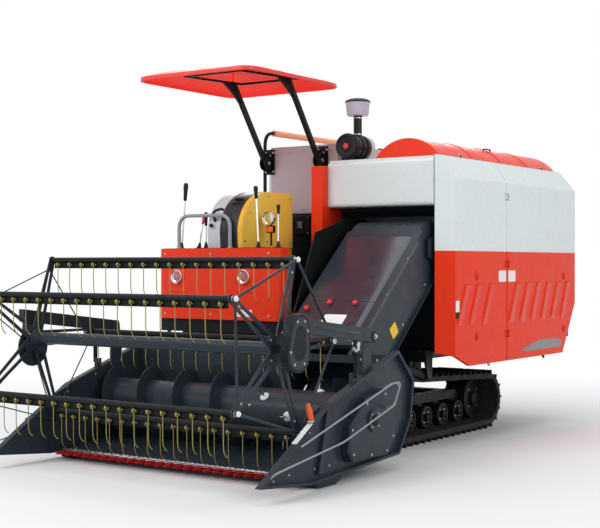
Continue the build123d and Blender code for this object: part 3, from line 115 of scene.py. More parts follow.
class Finish(Tree):
    """A Principled material, with helpers for its procedural detail."""

    def __init__(self, name, metal=0.0):
        self.material = bpy.data.materials.new(name)
        super().__init__(self.material)
        self.shader = self.feed(self.tree.nodes["Principled BSDF"], {"Metallic": metal})
        self.place = self.node("TexCoord").outputs["Object"]

    def noise(self, scale, detail=3.0, stretch=None):
        """Noise from 0 to 1 over the object's own coordinates."""
        place = self.place
        if stretch:
            place = self.node("Mapping", {"Vector": place, "Scale": stretch}).outputs["Vector"]
        return self.node("TexNoise", {"Vector": place, "Scale": scale, "Detail": detail}).outputs["Fac"]

    def ramp(self, source, low, high, to_low=0.0, to_high=1.0):
        span = {"Value": source, "From Min": low, "From Max": high, "To Min": to_low, "To Max": to_high}
        return self.node("MapRange", span).outputs["Result"]

    def mix(self, factor, first, second):
        """Mixes two colours, each a tuple or a socket."""
        made = self.node("Mix", {"Factor": factor, "A": first, "B": second}, data_type="RGBA")
        return made.outputs["Result"]

    def axis(self, index):
        return self.node("SeparateXYZ", {0: self.place}).outputs[index]

    def tone(self, color, spread=0.04, scale=2.5):
        """A colour that drifts a little over the surface."""
        dark = tuple(c * (1 - spread) for c in color)
        light = tuple(min(1.0, c * (1 + spread)) for c in color)
        return self.mix(self.noise(scale), dark, light)

    def dress(self, color, low, high, gloss=0.5, grain=12.0):
        """Gives the shader its colour and gloss, and a roughness that drifts between two values."""
        rough = self.ramp(self.noise(grain), 0.35, 0.65, low, high)
        self.feed(self.shader, {"Base Color": color, "Roughness": rough, "Specular IOR Level": gloss})
        return self

    def surface(self, bump=0.012, scale=90.0, edge=0.002, height=None):
        """Adds fine relief over edges that are rounded a little, and returns the material."""
        height = self.noise(scale, 2.0) if height is None else height
        relief = {"Strength": bump, "Distance": 0.002, "Height": height}
        if edge:
            relief["Normal"] = self.node("Bevel", {"Radius": edge}, samples=4).outputs["Normal"]
        self.feed(self.shader, {"Normal": self.node("Bump", relief).outputs["Normal"]})
        return self.material


def linear(r, g, b):
    """A screen colour, 0 to 255, as linear light."""
    return tuple(((c / 255 + 0.055) / 1.055) ** 2.4 if c > 10 else c / 255 / 12.92 for c in (r, g, b))


def paint(name, color, low=0.28, high=0.42, gloss=0.3, spread=0.04):
    made = Finish(name)
    return made.dress(made.tone(color, spread), low, high, gloss).surface()


def metal(name, color, low=0.22, high=0.4):
    made = Finish(name, 1.0)
    rough = made.ramp(made.noise(60.0, 4.0), 0.3, 0.7, low, high)
    made.feed(made.shader, {"Base Color": made.tone(color, 0.12, 9.0), "Roughness": rough})
    return made.surface(0.06, 500.0, 0.0008)


RED = linear(236, 54, 18)
WHITE = linear(224, 231, 231)
SLATE = linear(44, 52, 60)
SOOT = linear(38, 43, 49)
WIRE_GREY = linear(150, 156, 162)

red_paint = paint("red_paint", RED, gloss=0.25)
white_paint = paint("white_paint", WHITE, 0.25, 0.38, spread=0.015)
header_paint = paint("header_paint", SLATE, 0.26, 0.42, 0.2)
black_paint = paint("black_paint", linear(22, 24, 27), 0.34, 0.5, 0.15)
dark_paint = paint("dark_paint", SOOT, 0.36, 0.5, 0.2)
tank_paint = paint("tank_paint", linear(194, 183, 187), 0.34, 0.46)
yellow_paint = paint("yellow_paint", linear(255, 208, 84), 0.3, 0.42)
pale_paint = paint("pale_paint", linear(205, 208, 212), 0.3, 0.42)
wire_paint = paint("wire_paint", WIRE_GREY, 0.3, 0.42)
sheet_paint = paint("sheet_paint", linear(50, 56, 65), 0.14, 0.24, 0.5)
guard_paint = paint("guard_paint", linear(176, 22, 28), 0.3, 0.45, 0.2)
steel = metal("steel", (0.55, 0.55, 0.56))
chrome = metal("chrome", (0.82, 0.83, 0.85), 0.04, 0.1)
zinc = metal("zinc", linear(150, 140, 84), 0.3, 0.46)
bright_zinc = metal("bright_zinc", (0.44, 0.44, 0.43), 0.24, 0.4)


def nose_finish():
    """Header paint, and the wire guards' lighter paint on what stands further out than the drive guard."""
    made = Finish("nose_paint")
    outside = made.ramp(made.math("ABSOLUTE", made.axis(0)), DRIVE_X, DRIVE_X + 0.0005)
    return made.dress(made.mix(outside, made.tone(SLATE), made.tone(WIRE_GREY)), 0.26, 0.42, 0.2).surface()


def door_finish(name="door_paint", inside=None, depth=0.0):
    """White above and orange-red below, and another colour further in than a given depth."""
    made = Finish(name)
    above = made.ramp(made.axis(2), TONE_Z - 0.0015, TONE_Z + 0.0015)
    tones = made.mix(above, made.tone(RED), made.tone(WHITE, 0.02))
    if inside:
        tones = made.mix(made.ramp(made.axis(0), depth, depth + 0.001), made.tone(inside), tones)
    return made.dress(tones, 0.2, 0.34, 0.12).surface(edge=0.004)


def rubber_finish(name, color, bump=0.35, scale=90.0):
    made = Finish(name)
    worn = made.mix(made.ramp(made.noise(26.0, 6.0), 0.45, 0.75), color, tuple(c * 1.9 for c in color))
    return made.dress(worn, 0.62, 0.85, 0.3, 30.0).surface(bump, scale, 0.004)


def console_finish():
    """Bands across the console: yellow at the left, then black, then pale grey."""
    made = Finish("console_paint")
    black = made.ramp(made.axis(0), -0.3335, -0.3325)
    inner = made.mix(black, made.tone(linear(30, 32, 35), 0.1), made.tone(linear(247, 184, 52)))
    pale = made.ramp(made.axis(0), -0.4905, -0.4895)
    bands = made.mix(pale, made.tone(linear(200, 204, 210), 0.03), inner)
    return made.dress(bands, 0.32, 0.46, 0.3).surface(0.03, edge=0.003)


def plastic(name, color, low=0.3, high=0.45, scatter=0.0, gloss=0.35, reach=0.02, painted_glow=0.0):
    """Moulded plastic; painted_glow makes it glow, painted light that stands in for daylight let into a thin
    shell.
    """
    made = Finish(name)
    made.dress(made.tone(color, 0.05, 4.0), low, high, gloss)
    radii = (reach, reach * 0.3, reach * 0.2)
    # A glow in the plastic's own colour: painted light, as strong as painted_glow
    made.feed(made.shader, {"Subsurface Weight": scatter, "Subsurface Radius": radii, "Emission Color": color,
                            "Emission Strength": painted_glow})
    return made.surface(0.008, 60.0, 0.003)


def vinyl_finish():
    made = Finish("seat_vinyl")
    made.dress(made.tone(linear(34, 34, 36), 0.15, 14.0), 0.42, 0.58, grain=40.0)
    cells = made.node("TexVoronoi", {"Vector": made.place, "Scale": 420.0})
    return made.surface(0.3, edge=0.0, height=cells.outputs["Distance"])


def glass_finish(name):
    made = Finish(name)
    made.feed(made.shader, {"Base Color": (1.0, 1.0, 1.0), "Roughness": 0.02, "Transmission Weight": 1.0,
                            "IOR": 1.46})
    return made.surface(0.2, edge=0.0, height=made.noise(120.0, 0.0, (1.0, 0.05, 0.05)))


door_paint = door_finish()
nose_paint = nose_finish()
case_paint = door_finish("case_paint", SOOT, 0.925)
rubber = rubber_finish("track_rubber", (0.013, 0.013, 0.0135))
grip_rubber = rubber_finish("grip_rubber", (0.02, 0.02, 0.022), 0.15, 200.0)
console_paint = console_finish()
canopy_plastic = plastic("canopy_plastic", linear(236, 62, 54), 0.26, 0.38)
# The shell's underside: a brighter red than the top, and a glow, both painted light that stands in for
# daylight let through the thin shell
canopy_lining_painted_glow = plastic("canopy_lining_painted_glow", linear(255, 66, 54), 0.5, 0.6, 0.5, 0.05, 0.04, 0.28)
intake_plastic = plastic("intake_plastic", linear(22, 23, 25), 0.3, 0.45, gloss=0.25)
bowl_plastic = plastic("bowl_plastic", linear(196, 190, 204), 0.2, 0.3, 0.1)
orange_plastic = plastic("orange_plastic", linear(236, 96, 30), 0.35, 0.45)
guide_white = plastic("guide_white", linear(232, 233, 230), 0.3, 0.42, 0.1)
grip_plastic = plastic("grip_plastic", linear(26, 27, 30), 0.4, 0.55, gloss=0.2)
# Orange foam, painted paler than it is: a painted highlight
sleeve_foam_painted_highlight = plastic("sleeve_foam_painted_highlight", linear(250, 176, 136), 0.55, 0.7, 0.1)
knob_red = plastic("knob_red", linear(222, 62, 70), 0.3, 0.4)
amber = plastic("amber", linear(240, 120, 50), 0.2, 0.3, 0.1)
vinyl = vinyl_finish()
lens = glass_finish("lens")
label_white = plastic("label_white", linear(236, 236, 236), 0.4, 0.5)
label_yellow = plastic("label_yellow", linear(238, 196, 40), 0.4, 0.5)
label_grey = plastic("label_grey", linear(140, 138, 138), 0.4, 0.5)

FINISHES = {
    "rubber_track": rubber, "dark_metal": black_paint, "frame_black": black_paint, "body_dark": dark_paint,
    "body_white": white_paint, "body_red": red_paint, "tank_grey": tank_paint, "lamp": chrome,
    "engine": black_paint, "seat_vinyl": vinyl, "console_yellow": console_paint, "steel": steel,
    "canopy_plastic": canopy_plastic, "intake_plastic": intake_plastic, "header_grey": header_paint,
    "guard_red": guard_paint, "reel_bar": black_paint,
}
SPECIAL = {
    "door_front": door_paint, "door_rear": door_paint, "thresher_case": case_paint, "controls": wire_paint,
    "divider_left": nose_paint, "divider_right": nose_paint,
}
slot_of = {row["node"]: row["material_slot"] for row in frame["record"]["subparts"]}
for name, node in nodes.items():
    for place in node.material_slots:
        place.material = SPECIAL.get(name, FINISHES[slot_of[name]])


def in_scene(name, data):
    """A new object, linked to the scene."""
    made = bpy.data.objects.new(name, data)
    bpy.context.scene.collection.objects.link(made)
    return made


def from_bmesh(name, mesh):
    """A new object that takes over what a bmesh holds."""
    data = bpy.data.meshes.new(name)
    mesh.to_mesh(data)
    mesh.free()
    return in_scene(name, data)


def spoke(degrees):
    """A direction square to X, at an angle from the rear upwards."""
    angle = math.radians(degrees)
    return Vector((0, math.cos(angle), math.sin(angle)))


class Piece:
    """Gathers shapes into one mesh, each with its own finish."""

    def __init__(self):
        self.mesh = bmesh.new()
        self.finishes = []
        self.index = 0

    def use(self, finish):
        if finish not in self.finishes:
            self.finishes.append(finish)
        self.index = self.finishes.index(finish)
        return self

    def face(self, vertices):
        made = self.mesh.faces.new(vertices)
        made.material_index = self.index
        return made

    def skin(self, rings, closed=False, caps=True):
        """Joins rings of points, each as long as the next, into a tube."""
        rows = [[self.mesh.verts.new(p) for p in ring] for ring in rings]
        pairs = list(zip(rows, rows[1:]))
        if closed:
            pairs.append((rows[-1], rows[0]))
        count = len(rows[0])
        for near, far in pairs:
            for i in range(count):
                j = (i + 1) % count
                self.face((near[i], near[j], far[j], far[i]))
        if caps and not closed:
            self.face(tuple(reversed(rows[0])))
            self.face(tuple(rows[-1]))
        return self

    def box(self, low, high, bevel=0.0, base=(0, 0, 0)):
        """A box with its edges cut by a chamfer, its corners measured from a base."""
        low, high = Vector(low) + Vector(base), Vector(high) + Vector(base)
        cut = min(bevel, *((h - l) / 2.01 for l, h in zip(low, high))) if bevel else 0.0
        x0, y0, z0 = low
        x1, y1, z1 = high

        def ring(z, inset):
            a0, a1, b0, b1 = x0 + inset, x1 - inset, y0 + inset, y1 - inset
            return [(a0 + cut, b0, z), (a1 - cut, b0, z), (a1, b0 + cut, z), (a1, b1 - cut, z),
                    (a1 - cut, b1, z), (a0 + cut, b1, z), (a0, b1 - cut, z), (a0, b0 + cut, z)]

        if cut:
            self.skin([ring(z0, cut), ring(z0 + cut, 0), ring(z1 - cut, 0), ring(z1, cut)])
        else:
            self.skin([[(x0, y0, z), (x1, y0, z), (x1, y1, z), (x0, y1, z)] for z in (z0, z1)])
        return self

    def lathe(self, profile, origin, axis, segments=28):
        """Turns a profile of (radius, height) pairs about an axis."""
        origin, axis = Vector(origin), Vector(axis).normalized()
        side = axis.orthogonal().normalized()
        other = axis.cross(side)
        turns = [2 * math.pi * i / segments for i in range(segments)]
        ways = [side * math.cos(a) + other * math.sin(a) for a in turns]
        return self.skin([[origin + axis * height + way * max(radius, 1e-5) for way in ways]
                          for radius, height in profile])

    def rod(self, start, end, radius, segments=16, tip=None):
        """A round bar, or a cone where its tip has a radius of its own."""
        start, end = Vector(start), Vector(end)
        tip = radius if tip is None else tip
        return self.lathe([(radius, 0), (tip, (end - start).length)], start, end - start, segments)

    def cap(self, origin, axis, radius, side, top, height, segments=28):
        """A round cap with a sloping rim."""
        return self.lathe([(radius, 0), (radius, side), (top, height), (0.0, height)], origin, axis, segments)

    def band(self, origin, axis, inner, outer, half, slope, segments=40):
        """A band round a tube, with sloping rims."""
        profile = [(inner, -half), (outer, slope - half), (outer, half - slope), (inner, half)]
        return self.lathe(profile, origin, axis, segments)

    def sweep(self, points, radius, segments=10, closed=False):
        """A round tube along a line of points."""
        points = [Vector(p) for p in points]
        count = len(points)
        normal = None
        rings = []
        for i, point in enumerate(points):
            before = points[i - 1] if i or closed else point
            after = points[(i + 1) % count] if i + 1 < count or closed else point
            heading = (after - before).normalized()
            if normal is None:
                normal = heading.orthogonal().normalized()
            normal = (normal - heading * normal.dot(heading)).normalized()
            other = heading.cross(normal)
            rings.append([point + (normal * math.cos(a) + other * math.sin(a)) * radius
                          for a in (2 * math.pi * k / segments for k in range(segments))])
        return self.skin(rings, closed)

    def plate(self, outline, thickness, bevel=0.0):
        """An outline of 3D points made thick along a vector, its far rim chamfered."""
        outline = [Vector(p) for p in outline]
        thickness = Vector(thickness)
        middle = sum(outline, Vector()) / len(outline)
        rings = [outline, [p + thickness for p in outline]]
        if bevel:
            step = thickness * (1 - bevel / thickness.length)
            inner = [p + thickness + (middle - p).normalized() * bevel for p in outline]
            rings = [outline, [p + step for p in outline], inner]
        return self.skin(rings)

    def bolt(self, place, axis, size=0.008, height=0.006):
        """A hexagon head on a washer."""
        axis = Vector(axis).normalized()
        place = Vector(place)
        self.lathe([(size * 1.35, 0), (size * 1.35, 0.0015), (size, 0.0016)], place, axis, 14)
        self.lathe([(size, 0.0012), (size, height * 0.8), (size * 0.8, height)], place, axis, 6)
        return self

    def bolts(self, places, axis, size=0.008, height=0.006):
        for place in places:
            self.bolt(place, axis, size, height)
        return self

    def done(self, name, body, slot, smooth):
        """Makes the object, with edges sharper than an angle kept sharp."""
        bmesh.ops.remove_doubles(self.mesh, verts=self.mesh.verts, dist=1e-6)
        bmesh.ops.recalc_face_normals(self.mesh, faces=self.mesh.faces)
        made = from_bmesh(name, self.mesh)
        for finish in self.finishes:
            made.data.materials.append(finish)
        for polygon in made.data.polygons:
            polygon.use_smooth = True
        made.data.set_sharp_from_angle(angle=math.radians(smooth))
        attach(made, body)
        return made


# Reel: tine bars with spring tines
TINE_PITCH = 0.105
TINE_COUNT = 18
WIRE = 0.0031
COIL = 0.0125
COIL_TURNS = 2.75
COIL_STEPS = 26
PIN = 0.0098
PIN_END = 0.964
CRANK_X = (-0.972, -0.966)


def tine(piece, x):
    """Tight coils on the strip, then a leg that hooks to the rear at its end."""
    points = []
    for i in range(COIL_STEPS + 1):
        share = i / COIL_STEPS
        a = math.radians(90 - 360 * COIL_TURNS * share)
        y, z = COIL * math.cos(a) * 0.9 - 0.009, COIL * math.sin(a) - 0.03
        points.append((x - 0.011 + 0.022 * share, y, z))
    leg_y = points[-1][1]
    leg = [(0.0, -0.06), (0.0, -0.12), (0.0005, -0.168), (0.003, -0.192), (0.009, -0.211), (0.02, -0.226),
           (0.036, -0.237)]
    piece.sweep(points + [(x + 0.011, leg_y + y, z) for y, z in leg], WIRE, 6)


def bar_way(i):
    """The direction from the reel's shaft to one of its bars."""
    return spoke(BAR_FIRST + 360 / BAR_COUNT * i)


for i in range(BAR_COUNT):
    bar = Piece().use(black_paint)
    # The bar is a tube with a folded strip under it
    bar.rod((-BAR_HALF, 0, 0), (BAR_HALF, 0, 0), 0.017, 20)
    strip = [(0.0035, 0.004), (0.0035, -0.047), (-0.01, -0.05), (-0.01, -0.053), (0.0065, -0.0505),
             (0.0065, 0.004)]
    bar.skin([[(x, y, z) for y, z in strip] for x in (-BAR_HALF + 0.01, BAR_HALF - 0.01)])
    bar.rod((BAR_HALF, 0, 0), (PIN_END, 0, 0), PIN, 14)
    bar.rod((CRANK_X[0], 0, 0), (-BAR_HALF, 0, 0), PIN, 14)
    # The crank and the pin that the eccentric ring holds
    bar.box((CRANK_X[0], -0.014, -CRANK - 0.014), (CRANK_X[1], 0.014, 0.014), 0.003)
    bar.rod((-0.986, 0, -CRANK), (CRANK_X[1], 0, -CRANK), 0.0078, 12)
    bar.use(zinc)
    for k in range(TINE_COUNT):
        x = (k - (TINE_COUNT - 1) / 2) * TINE_PITCH
        tine(bar, x)
        bar.bolt((x, -0.009, -0.03), FRONT, 0.0062, 0.012)
    made = bar.done(f"tine_bar_{i + 1}_tines", f"tine_bar_{i + 1}", "reel_bar", 50)
    made.data.transform(Matrix.Translation(REEL + bar_way(i) * BAR_RADIUS))
    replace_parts(made, f"reel_bar_{i + 1}")


def bent(first, corner, last, steps):
    """Points on a curve that leaves its first point towards the corner, and comes from there to the last."""
    shares = [k / steps for k in range(steps + 1)]
    return [first * (1 - t) ** 2 + corner * 2 * t * (1 - t) + last * t * t for t in shares]


def rounded(points, radius, steps=6):
    """A line of points with its corners rounded off."""
    points = [Vector(p) for p in points]
    made = [points[0]]
    for before, corner, after in zip(points, points[1:], points[2:]):
        reach = min(radius, (before - corner).length * 0.48, (after - corner).length * 0.48)
        first = corner + (before - corner).normalized() * reach
        last = corner + (after - corner).normalized() * reach
        made += bent(first, corner, last, steps)
    made.append(points[-1])
    return made


def swage(piece, start, end, normal, width=0.01, lift=0.004):
    """A pressed rib with round ends between two points of a flat sheet."""
    start, end, normal = Vector(start), Vector(end), Vector(normal).normalized()
    along = (end - start).normalized()
    aside = normal.cross(along)
    rim, crest = [], []
    for base, sign in ((start, -1), (end, 1)):
        for k in range(7):
            a = math.radians(-90 + 30 * k)
            step = (along * math.cos(a) + aside * math.sin(a)) * sign
            rim.append(base + step * width)
            crest.append(base + step * width * 0.45 + normal * lift)
    piece.skin([[p - normal * 0.001 for p in rim], rim, crest])


def hull(points):
    """The convex hull of flat points, counter-clockwise."""
    points = sorted(points)
    halves = []
    for row in (points, points[::-1]):
        chain = []
        for p in row:
            while len(chain) > 1 and ((chain[-1][0] - chain[-2][0]) * (p[1] - chain[-2][1])
                                      - (chain[-1][1] - chain[-2][1]) * (p[0] - chain[-2][0])) <= 0:
                chain.pop()
            chain.append(p)
        halves += chain[:-1]
    return halves


def ring_points(a, b, radius, count=32, first=0.0):
    """Pairs evenly spaced on a circle round a and b, the first at a given angle."""
    turns = [math.radians(first + 360 * i / count) for i in range(count)]
    return [(a + radius * math.cos(turn), b + radius * math.sin(turn)) for turn in turns]


LABEL_THICK = 0.0016
LABEL_EDGE = 0.0006


def blank_plate(piece, place, size, finish, right=REAR, up=TOP):
    """An empty label plate with round corners, a little proud of its sheet."""
    place, right, up = Vector(place), Vector(right).normalized(), Vector(up).normalized()
    wide, high = size[0] / 2, size[1] / 2
    r = min(wide, high) * 0.25
    outline = []
    for sx, sy, start in ((1, -1, -90), (1, 1, 0), (-1, 1, 90), (-1, -1, 180)):
        for k in range(4):
            a = math.radians(start + 30 * k)
            across, rise = sx * (wide - r) + r * math.cos(a), sy * (high - r) + r * math.sin(a)
            outline.append(place + right * across + up * rise)
    piece.use(finish).plate(outline, right.cross(up) * LABEL_THICK, LABEL_EDGE)


# Side panels: pressed fields, latches, empty label plates, edge hooks
def latch(piece, y, z):
    """A round paddle latch in a shallow dish."""
    dish = [(0.034, -0.001), (0.034, 0.002), (0.03, 0.0045), (0.026, 0.0045), (0.024, 0.001), (0.0, 0.001)]
    piece.use(door_paint).lathe(dish, (SIDE_X, y, z), LEFT)
    piece.box((SIDE_X, y - 0.013, z - 0.022), (SIDE_X + 0.009, y + 0.013, z + 0.012), 0.004)
    pin = [(0.006, 0.004), (0.006, 0.0095), (0.003, 0.0095)]
    piece.use(black_paint).lathe(pin, (SIDE_X, y, z - 0.01), LEFT, 14)


def pressed(piece, y, wide, low_z, high_z, slant=0.138, lift=0.009):
    """A raised field with slanting sides, which runs out at its lower end."""
    rim = [(y - slant, low_z), (y - slant + wide, low_z), (y + wide, high_z), (y - 0.02, high_z)]
    crest = [(y - slant + 0.016, low_z + 0.045), (y - slant + wide - 0.007, low_z + 0.045),
             (y + wide - 0.006, high_z - 0.006), (y - 0.004, high_z - 0.006)]
    piece.skin([[(SIDE_X - 0.001, a, z) for a, z in rim], [(SIDE_X, a, z) for a, z in rim],
                [(SIDE_X + lift, a, z) for a, z in crest]])


front = Piece().use(door_paint)
for y in (0.362, 0.545, 0.751):
    pressed(front, y, 0.075, 0.846, 1.138)
for z in (1.194, 0.767):
    latch(front, 0.534, z)
blank_plate(front, (SIDE_X, 0.95, 1.19), (0.124, 0.084), label_white)
blank_plate(front, (SIDE_X, 0.236, 0.985), (0.056, 0.08), label_white)
blank_plate(front, (SIDE_X, 0.236, 0.922), (0.056, 0.044), black_paint)
hook = [(0.585, 0), (0.548, 0), (0.54, 0.022), (0.556, 0.026)]
front.use(black_paint).sweep(rounded([(0.94, 0.727 + y, z) for z, y in hook], 0.012), 0.004, 8)
front.done("front_door_relief", "door_front", "body_red", 35)

rear = Piece().use(door_paint)
for k in range(6):
    pressed(rear, 1.189 + 0.193 * k, 0.09, 0.838, 1.14)
for z in (1.182, 0.757):
    latch(rear, 2.1, z)
blank_plate(rear, (SIDE_X, 1.112, 1.19), (0.124, 0.084), label_white)
# A plain grey flash along the lower edge
flash = [(1.258, 0.616), (1.44, 0.61), (1.63, 0.608), (2.03, 0.612), (2.062, 0.663), (1.92, 0.684),
         (1.6285, 0.688), (1.44, 0.656)]
rear.use(label_grey).plate([(SIDE_X, y, z) for y, z in flash], (LABEL_THICK, 0, 0), LABEL_EDGE)
rear.use(black_paint).sweep(rounded([(0.94, 1.698 + y, z) for z, y in hook], 0.012), 0.007, 8)
rear.done("rear_door_relief", "door_rear", "body_red", 35)


# Front beam and the dark guide behind it
beam = Piece().use(white_paint)
low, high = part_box("front_beam")
beam.box((low.x + 0.012, low.y - 0.0015, low.z + 0.02), (high.x - 0.01, low.y + 0.004, high.z - 0.03), 0.0012)
ends = [(x, low.y + 0.06, low.z + 0.004) for x in (low.x + 0.05, high.x - 0.05)]
beam.use(bright_zinc).bolts(ends, (0, 0, -1), 0.007)
beam.done("beam_panel", "chassis", "body_white", 35)

guide = Piece().use(bright_zinc)
guide.bolts([(x, 0.31, 1.64) for x in (0.224, 0.41, 0.581)], FRONT, 0.01, 0.008)
turn_knob = [(0.008, 0), (0.008, 0.01), (0.018, 0.013), (0.019, 0.018), (0.016, 0.024), (0.0, 0.026)]
for x in (0.296, 0.494):
    guide.use(knob_red).lathe(turn_knob, (x, 0.31, 1.549), FRONT, 20)
guide.use(black_paint).box((0.18, 0.302, 1.5), (0.7, 0.311, 1.53), 0.003)
guide.done("crop_guide_trim", "chassis", "body_dark", 35)


# Feeder house: two covers with red knobs, a raised field on the side, bolts, empty plates
SLOPE = 41.2
ALONG = spoke(SLOPE)
UP = spoke(SLOPE + 90)
PIVOT = Vector((0, 0.11, 1.387))


def on_feeder(x, down, lift=0.0):
    """A place on the feeder's upper side, measured down the slope from its pivot."""
    return PIVOT + Vector((x, 0, 0)) - ALONG * down + UP * (0.19 + lift)


KNOBS = ((0.454, 0.79), (0.653, 0.79), (0.3, 0.85))
COVER_SEAM = 0.76
DIAMOND = (0.732, -0.085)


def knob(piece, place, axis, size=0.018):
    profile = [(0.45, 0), (0.45, 0.5), (1, 0.7), (1.05, 1), (0.9, 1.35), (0.0, 1.45)]
    piece.use(knob_red).lathe([(size * radius, size * height) for radius, height in profile], place, axis, 20)


feeder = Piece()
for x, down in KNOBS:
    knob(feeder, on_feeder(x, down, 0.01), UP)
# Two covers whose left edges fold down over the side, with a seam between them
FOLD_X = 0.738
FOLD_STEPS = 8
feeder.use(sheet_paint)
fold = [(0.256, 0.0075), (0.262, 0.0095), (FOLD_X, 0.0095)]
for k in range(1, FOLD_STEPS + 1):
    a = math.radians(90 * k / FOLD_STEPS)
    fold.append((FOLD_X + 0.0665 * math.sin(a), 0.0095 - 0.0505 * (1 - math.cos(a))))
fold.append((0.8045, -0.058))
under_fold = [(x - 0.002 * (x > 0.7), lift - 0.002) for x, lift in reversed(fold)]
for near, far in ((0.105, COVER_SEAM - 0.002), (COVER_SEAM + 0.002, 1.12)):
    feeder.skin([[on_feeder(x, d, lift) for x, lift in fold + under_fold] for d in (near, far)])
blank_plate(feeder, on_feeder(0.55, 0.935, 0.0097), (0.17, 0.09), label_white, LEFT, ALONG)


def on_side(down, up):
    """A place on the feeder's left side, measured from its pivot."""
    return PIVOT + Vector((0.8, 0, 0)) - ALONG * down + UP * up


feeder.use(header_paint)
field = [on_side(d, u) for d, u in ((0.24, 0.14), (1.0, 0.14), (1.06, -0.12), (0.16, -0.12))]
feeder.plate(field, (0.004, 0, 0), 0.003)
screws = ((0.28, 0.155), (0.64, 0.155), (0.98, 0.155), (0.22, -0.14), (0.62, -0.14), (1.0, -0.14))
feeder.use(bright_zinc).bolts([on_side(d, u) for d, u in screws], LEFT, 0.007)
blank_plate(feeder, on_side(*DIAMOND) + Vector((0.004, 0, 0)), (0.085, 0.085), label_yellow, (0, 0.82, 0.57),
            (0, -0.57, 0.82))
feeder.done("feeder_trim", "header", "header_grey", 35)


# Header pan: pressed ribs and bolts
pan = Piece().use(header_paint)
REAR_WALL = -0.853
MOUTH = (0.2, 0.82)
for x in (-0.9, -0.7, -0.5, -0.3, -0.1, 0.11, 0.86, 0.96):
    swage(pan, (x, REAR_WALL, 0.39), (x, REAR_WALL, 0.6), FRONT, 0.014, 0.006)
row = [-0.96 + 0.12 * i for i in range(17)]
pan.use(bright_zinc)
pan.bolts([(x, REAR_WALL, 0.68) for x in row if not MOUTH[0] < x < MOUTH[1]], FRONT, 0.006)
sheet_bolts = ((-1.56, 0.43), (-1.3, 0.53), (-1.05, 0.61), (-0.9, 0.3), (-0.9, 0.45))
for hand in (-1, 1):
    pan.bolts([(hand * 1.01, y, z) for y, z in sheet_bolts], (-hand, 0, 0), 0.006)
pan.done("pan_fittings", "header", "header_grey", 35)


# Cutter bar: forged red guards on a bar, with the knife between them
GUARD_PITCH = 0.0762
GUARD_COUNT = 25
bar_low, bar_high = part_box("cutter_bar")
# The shank, the root that grips the bar, the slit fork and the point: y, half width, bottom and top
GUARD = ((-1.64, 0.014, 0.0425, 0.06), (-1.658, 0.015, 0.0425, 0.0655), (-1.676, 0.012, 0.0425, 0.0655),
         (-1.712, 0.0095, 0.043, 0.065), (-1.74, 0.0065, 0.045, 0.063), (-1.76, 0.0035, 0.049, 0.059),
         (bar_low.y, 0.0006, 0.053, 0.055))


def guard_ring(x, y, half, bottom, top):
    """An octagon across a guard."""
    cut = half * 0.45
    rise = cut * 0.7
    left, right = x - half, x + half
    across = (left + cut, right - cut, right, right, right - cut, left + cut, left, left)
    heights = (bottom, bottom, bottom + rise, top - rise, top, top, top - rise, bottom + rise)
    return [(a, y, z) for a, z in zip(across, heights)]


guards = Piece().use(header_paint)
guards.box((bar_low.x, -1.66, 0.042), (bar_high.x, bar_high.y, 0.054), 0.001)
for i in range(GUARD_COUNT):
    x = (i - (GUARD_COUNT - 1) / 2) * GUARD_PITCH
    guards.use(guard_paint).skin([guard_ring(x, *section) for section in GUARD])
    guards.use(bright_zinc).bolt((x, -1.648, 0.06), TOP, 0.0058, 0.0055)
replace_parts(guards.done("cutter_guards", "header", "guard_red", 30), "cutter_bar")

blades = Piece().use(steel)
knife_low, knife_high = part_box("knife")
blades.box((knife_low.x, -1.655, 0.0665), (knife_high.x, -1.636, 0.0718), 0.001)
# Bevelled edges, ground from below the top face
BLADE_BASE = ((-0.036, -1.652), (-0.008, -1.711), (0.008, -1.711), (0.036, -1.652))
BLADE_CREST = ((-0.03, -1.652), (-0.004, -1.703), (0.004, -1.703), (0.03, -1.652))
RIVET = [(0.005, 0), (0.0048, 0.0015), (0.003, 0.0028)]
for i in range(GUARD_COUNT - 1):
    x = (i - (GUARD_COUNT - 2) / 2) * GUARD_PITCH
    rings = ((BLADE_BASE, 0.0667), (BLADE_CREST, 0.0692))
    blades.skin([[(x + px, py, z) for px, py in ring] for ring, z in rings])
    for hand in (-1, 1):
        blades.lathe(RIVET, (x + hand * 0.018, -1.6455, 0.0712), TOP, 12)
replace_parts(blades.done("knife_sections", "header", "steel", 30), "knife")


# Auger: finger guides and fingers, bands, bolts
auger = Piece()
finger_guide = [(0.03, -0.003), (0.03, 0.003), (0.024, 0.007), (0.014, 0.014), (0.0085, 0.014)]
FINGER_COUNT = 8
FINGERS_X = (0.25, 0.8)
AUGER_RADIUS = 0.15
for i in range(FINGER_COUNT):
    out = spoke(135 * i)
    x = FINGERS_X[0] + (i + 0.5) * (FINGERS_X[1] - FINGERS_X[0]) / FINGER_COUNT
    place = AUGER + Vector((x, 0, 0)) + out * AUGER_RADIUS
    auger.use(guide_white).lathe(finger_guide, place, out, 20)
    auger.use(steel).lathe([(0.0076, 0.0), (0.0076, 0.078), (0.005, 0.085)], place, out, 14)
auger.use(header_paint)
for x in (-0.975, -0.4, 0.18, 0.865, 0.975):
    auger.band(AUGER + Vector((x, 0, 0)), LEFT, 0.1505, 0.153, 0.012, 0.002, 48)
auger.use(bright_zinc)
for x in (0.262, 0.788):
    for out in (spoke(40), spoke(160), spoke(280)):
        auger.bolt(AUGER + Vector((x, 0, 0)) + out * (AUGER_RADIUS - 0.0005), out, 0.006)
auger.done("auger_fittings", "auger", "header_grey", 40)


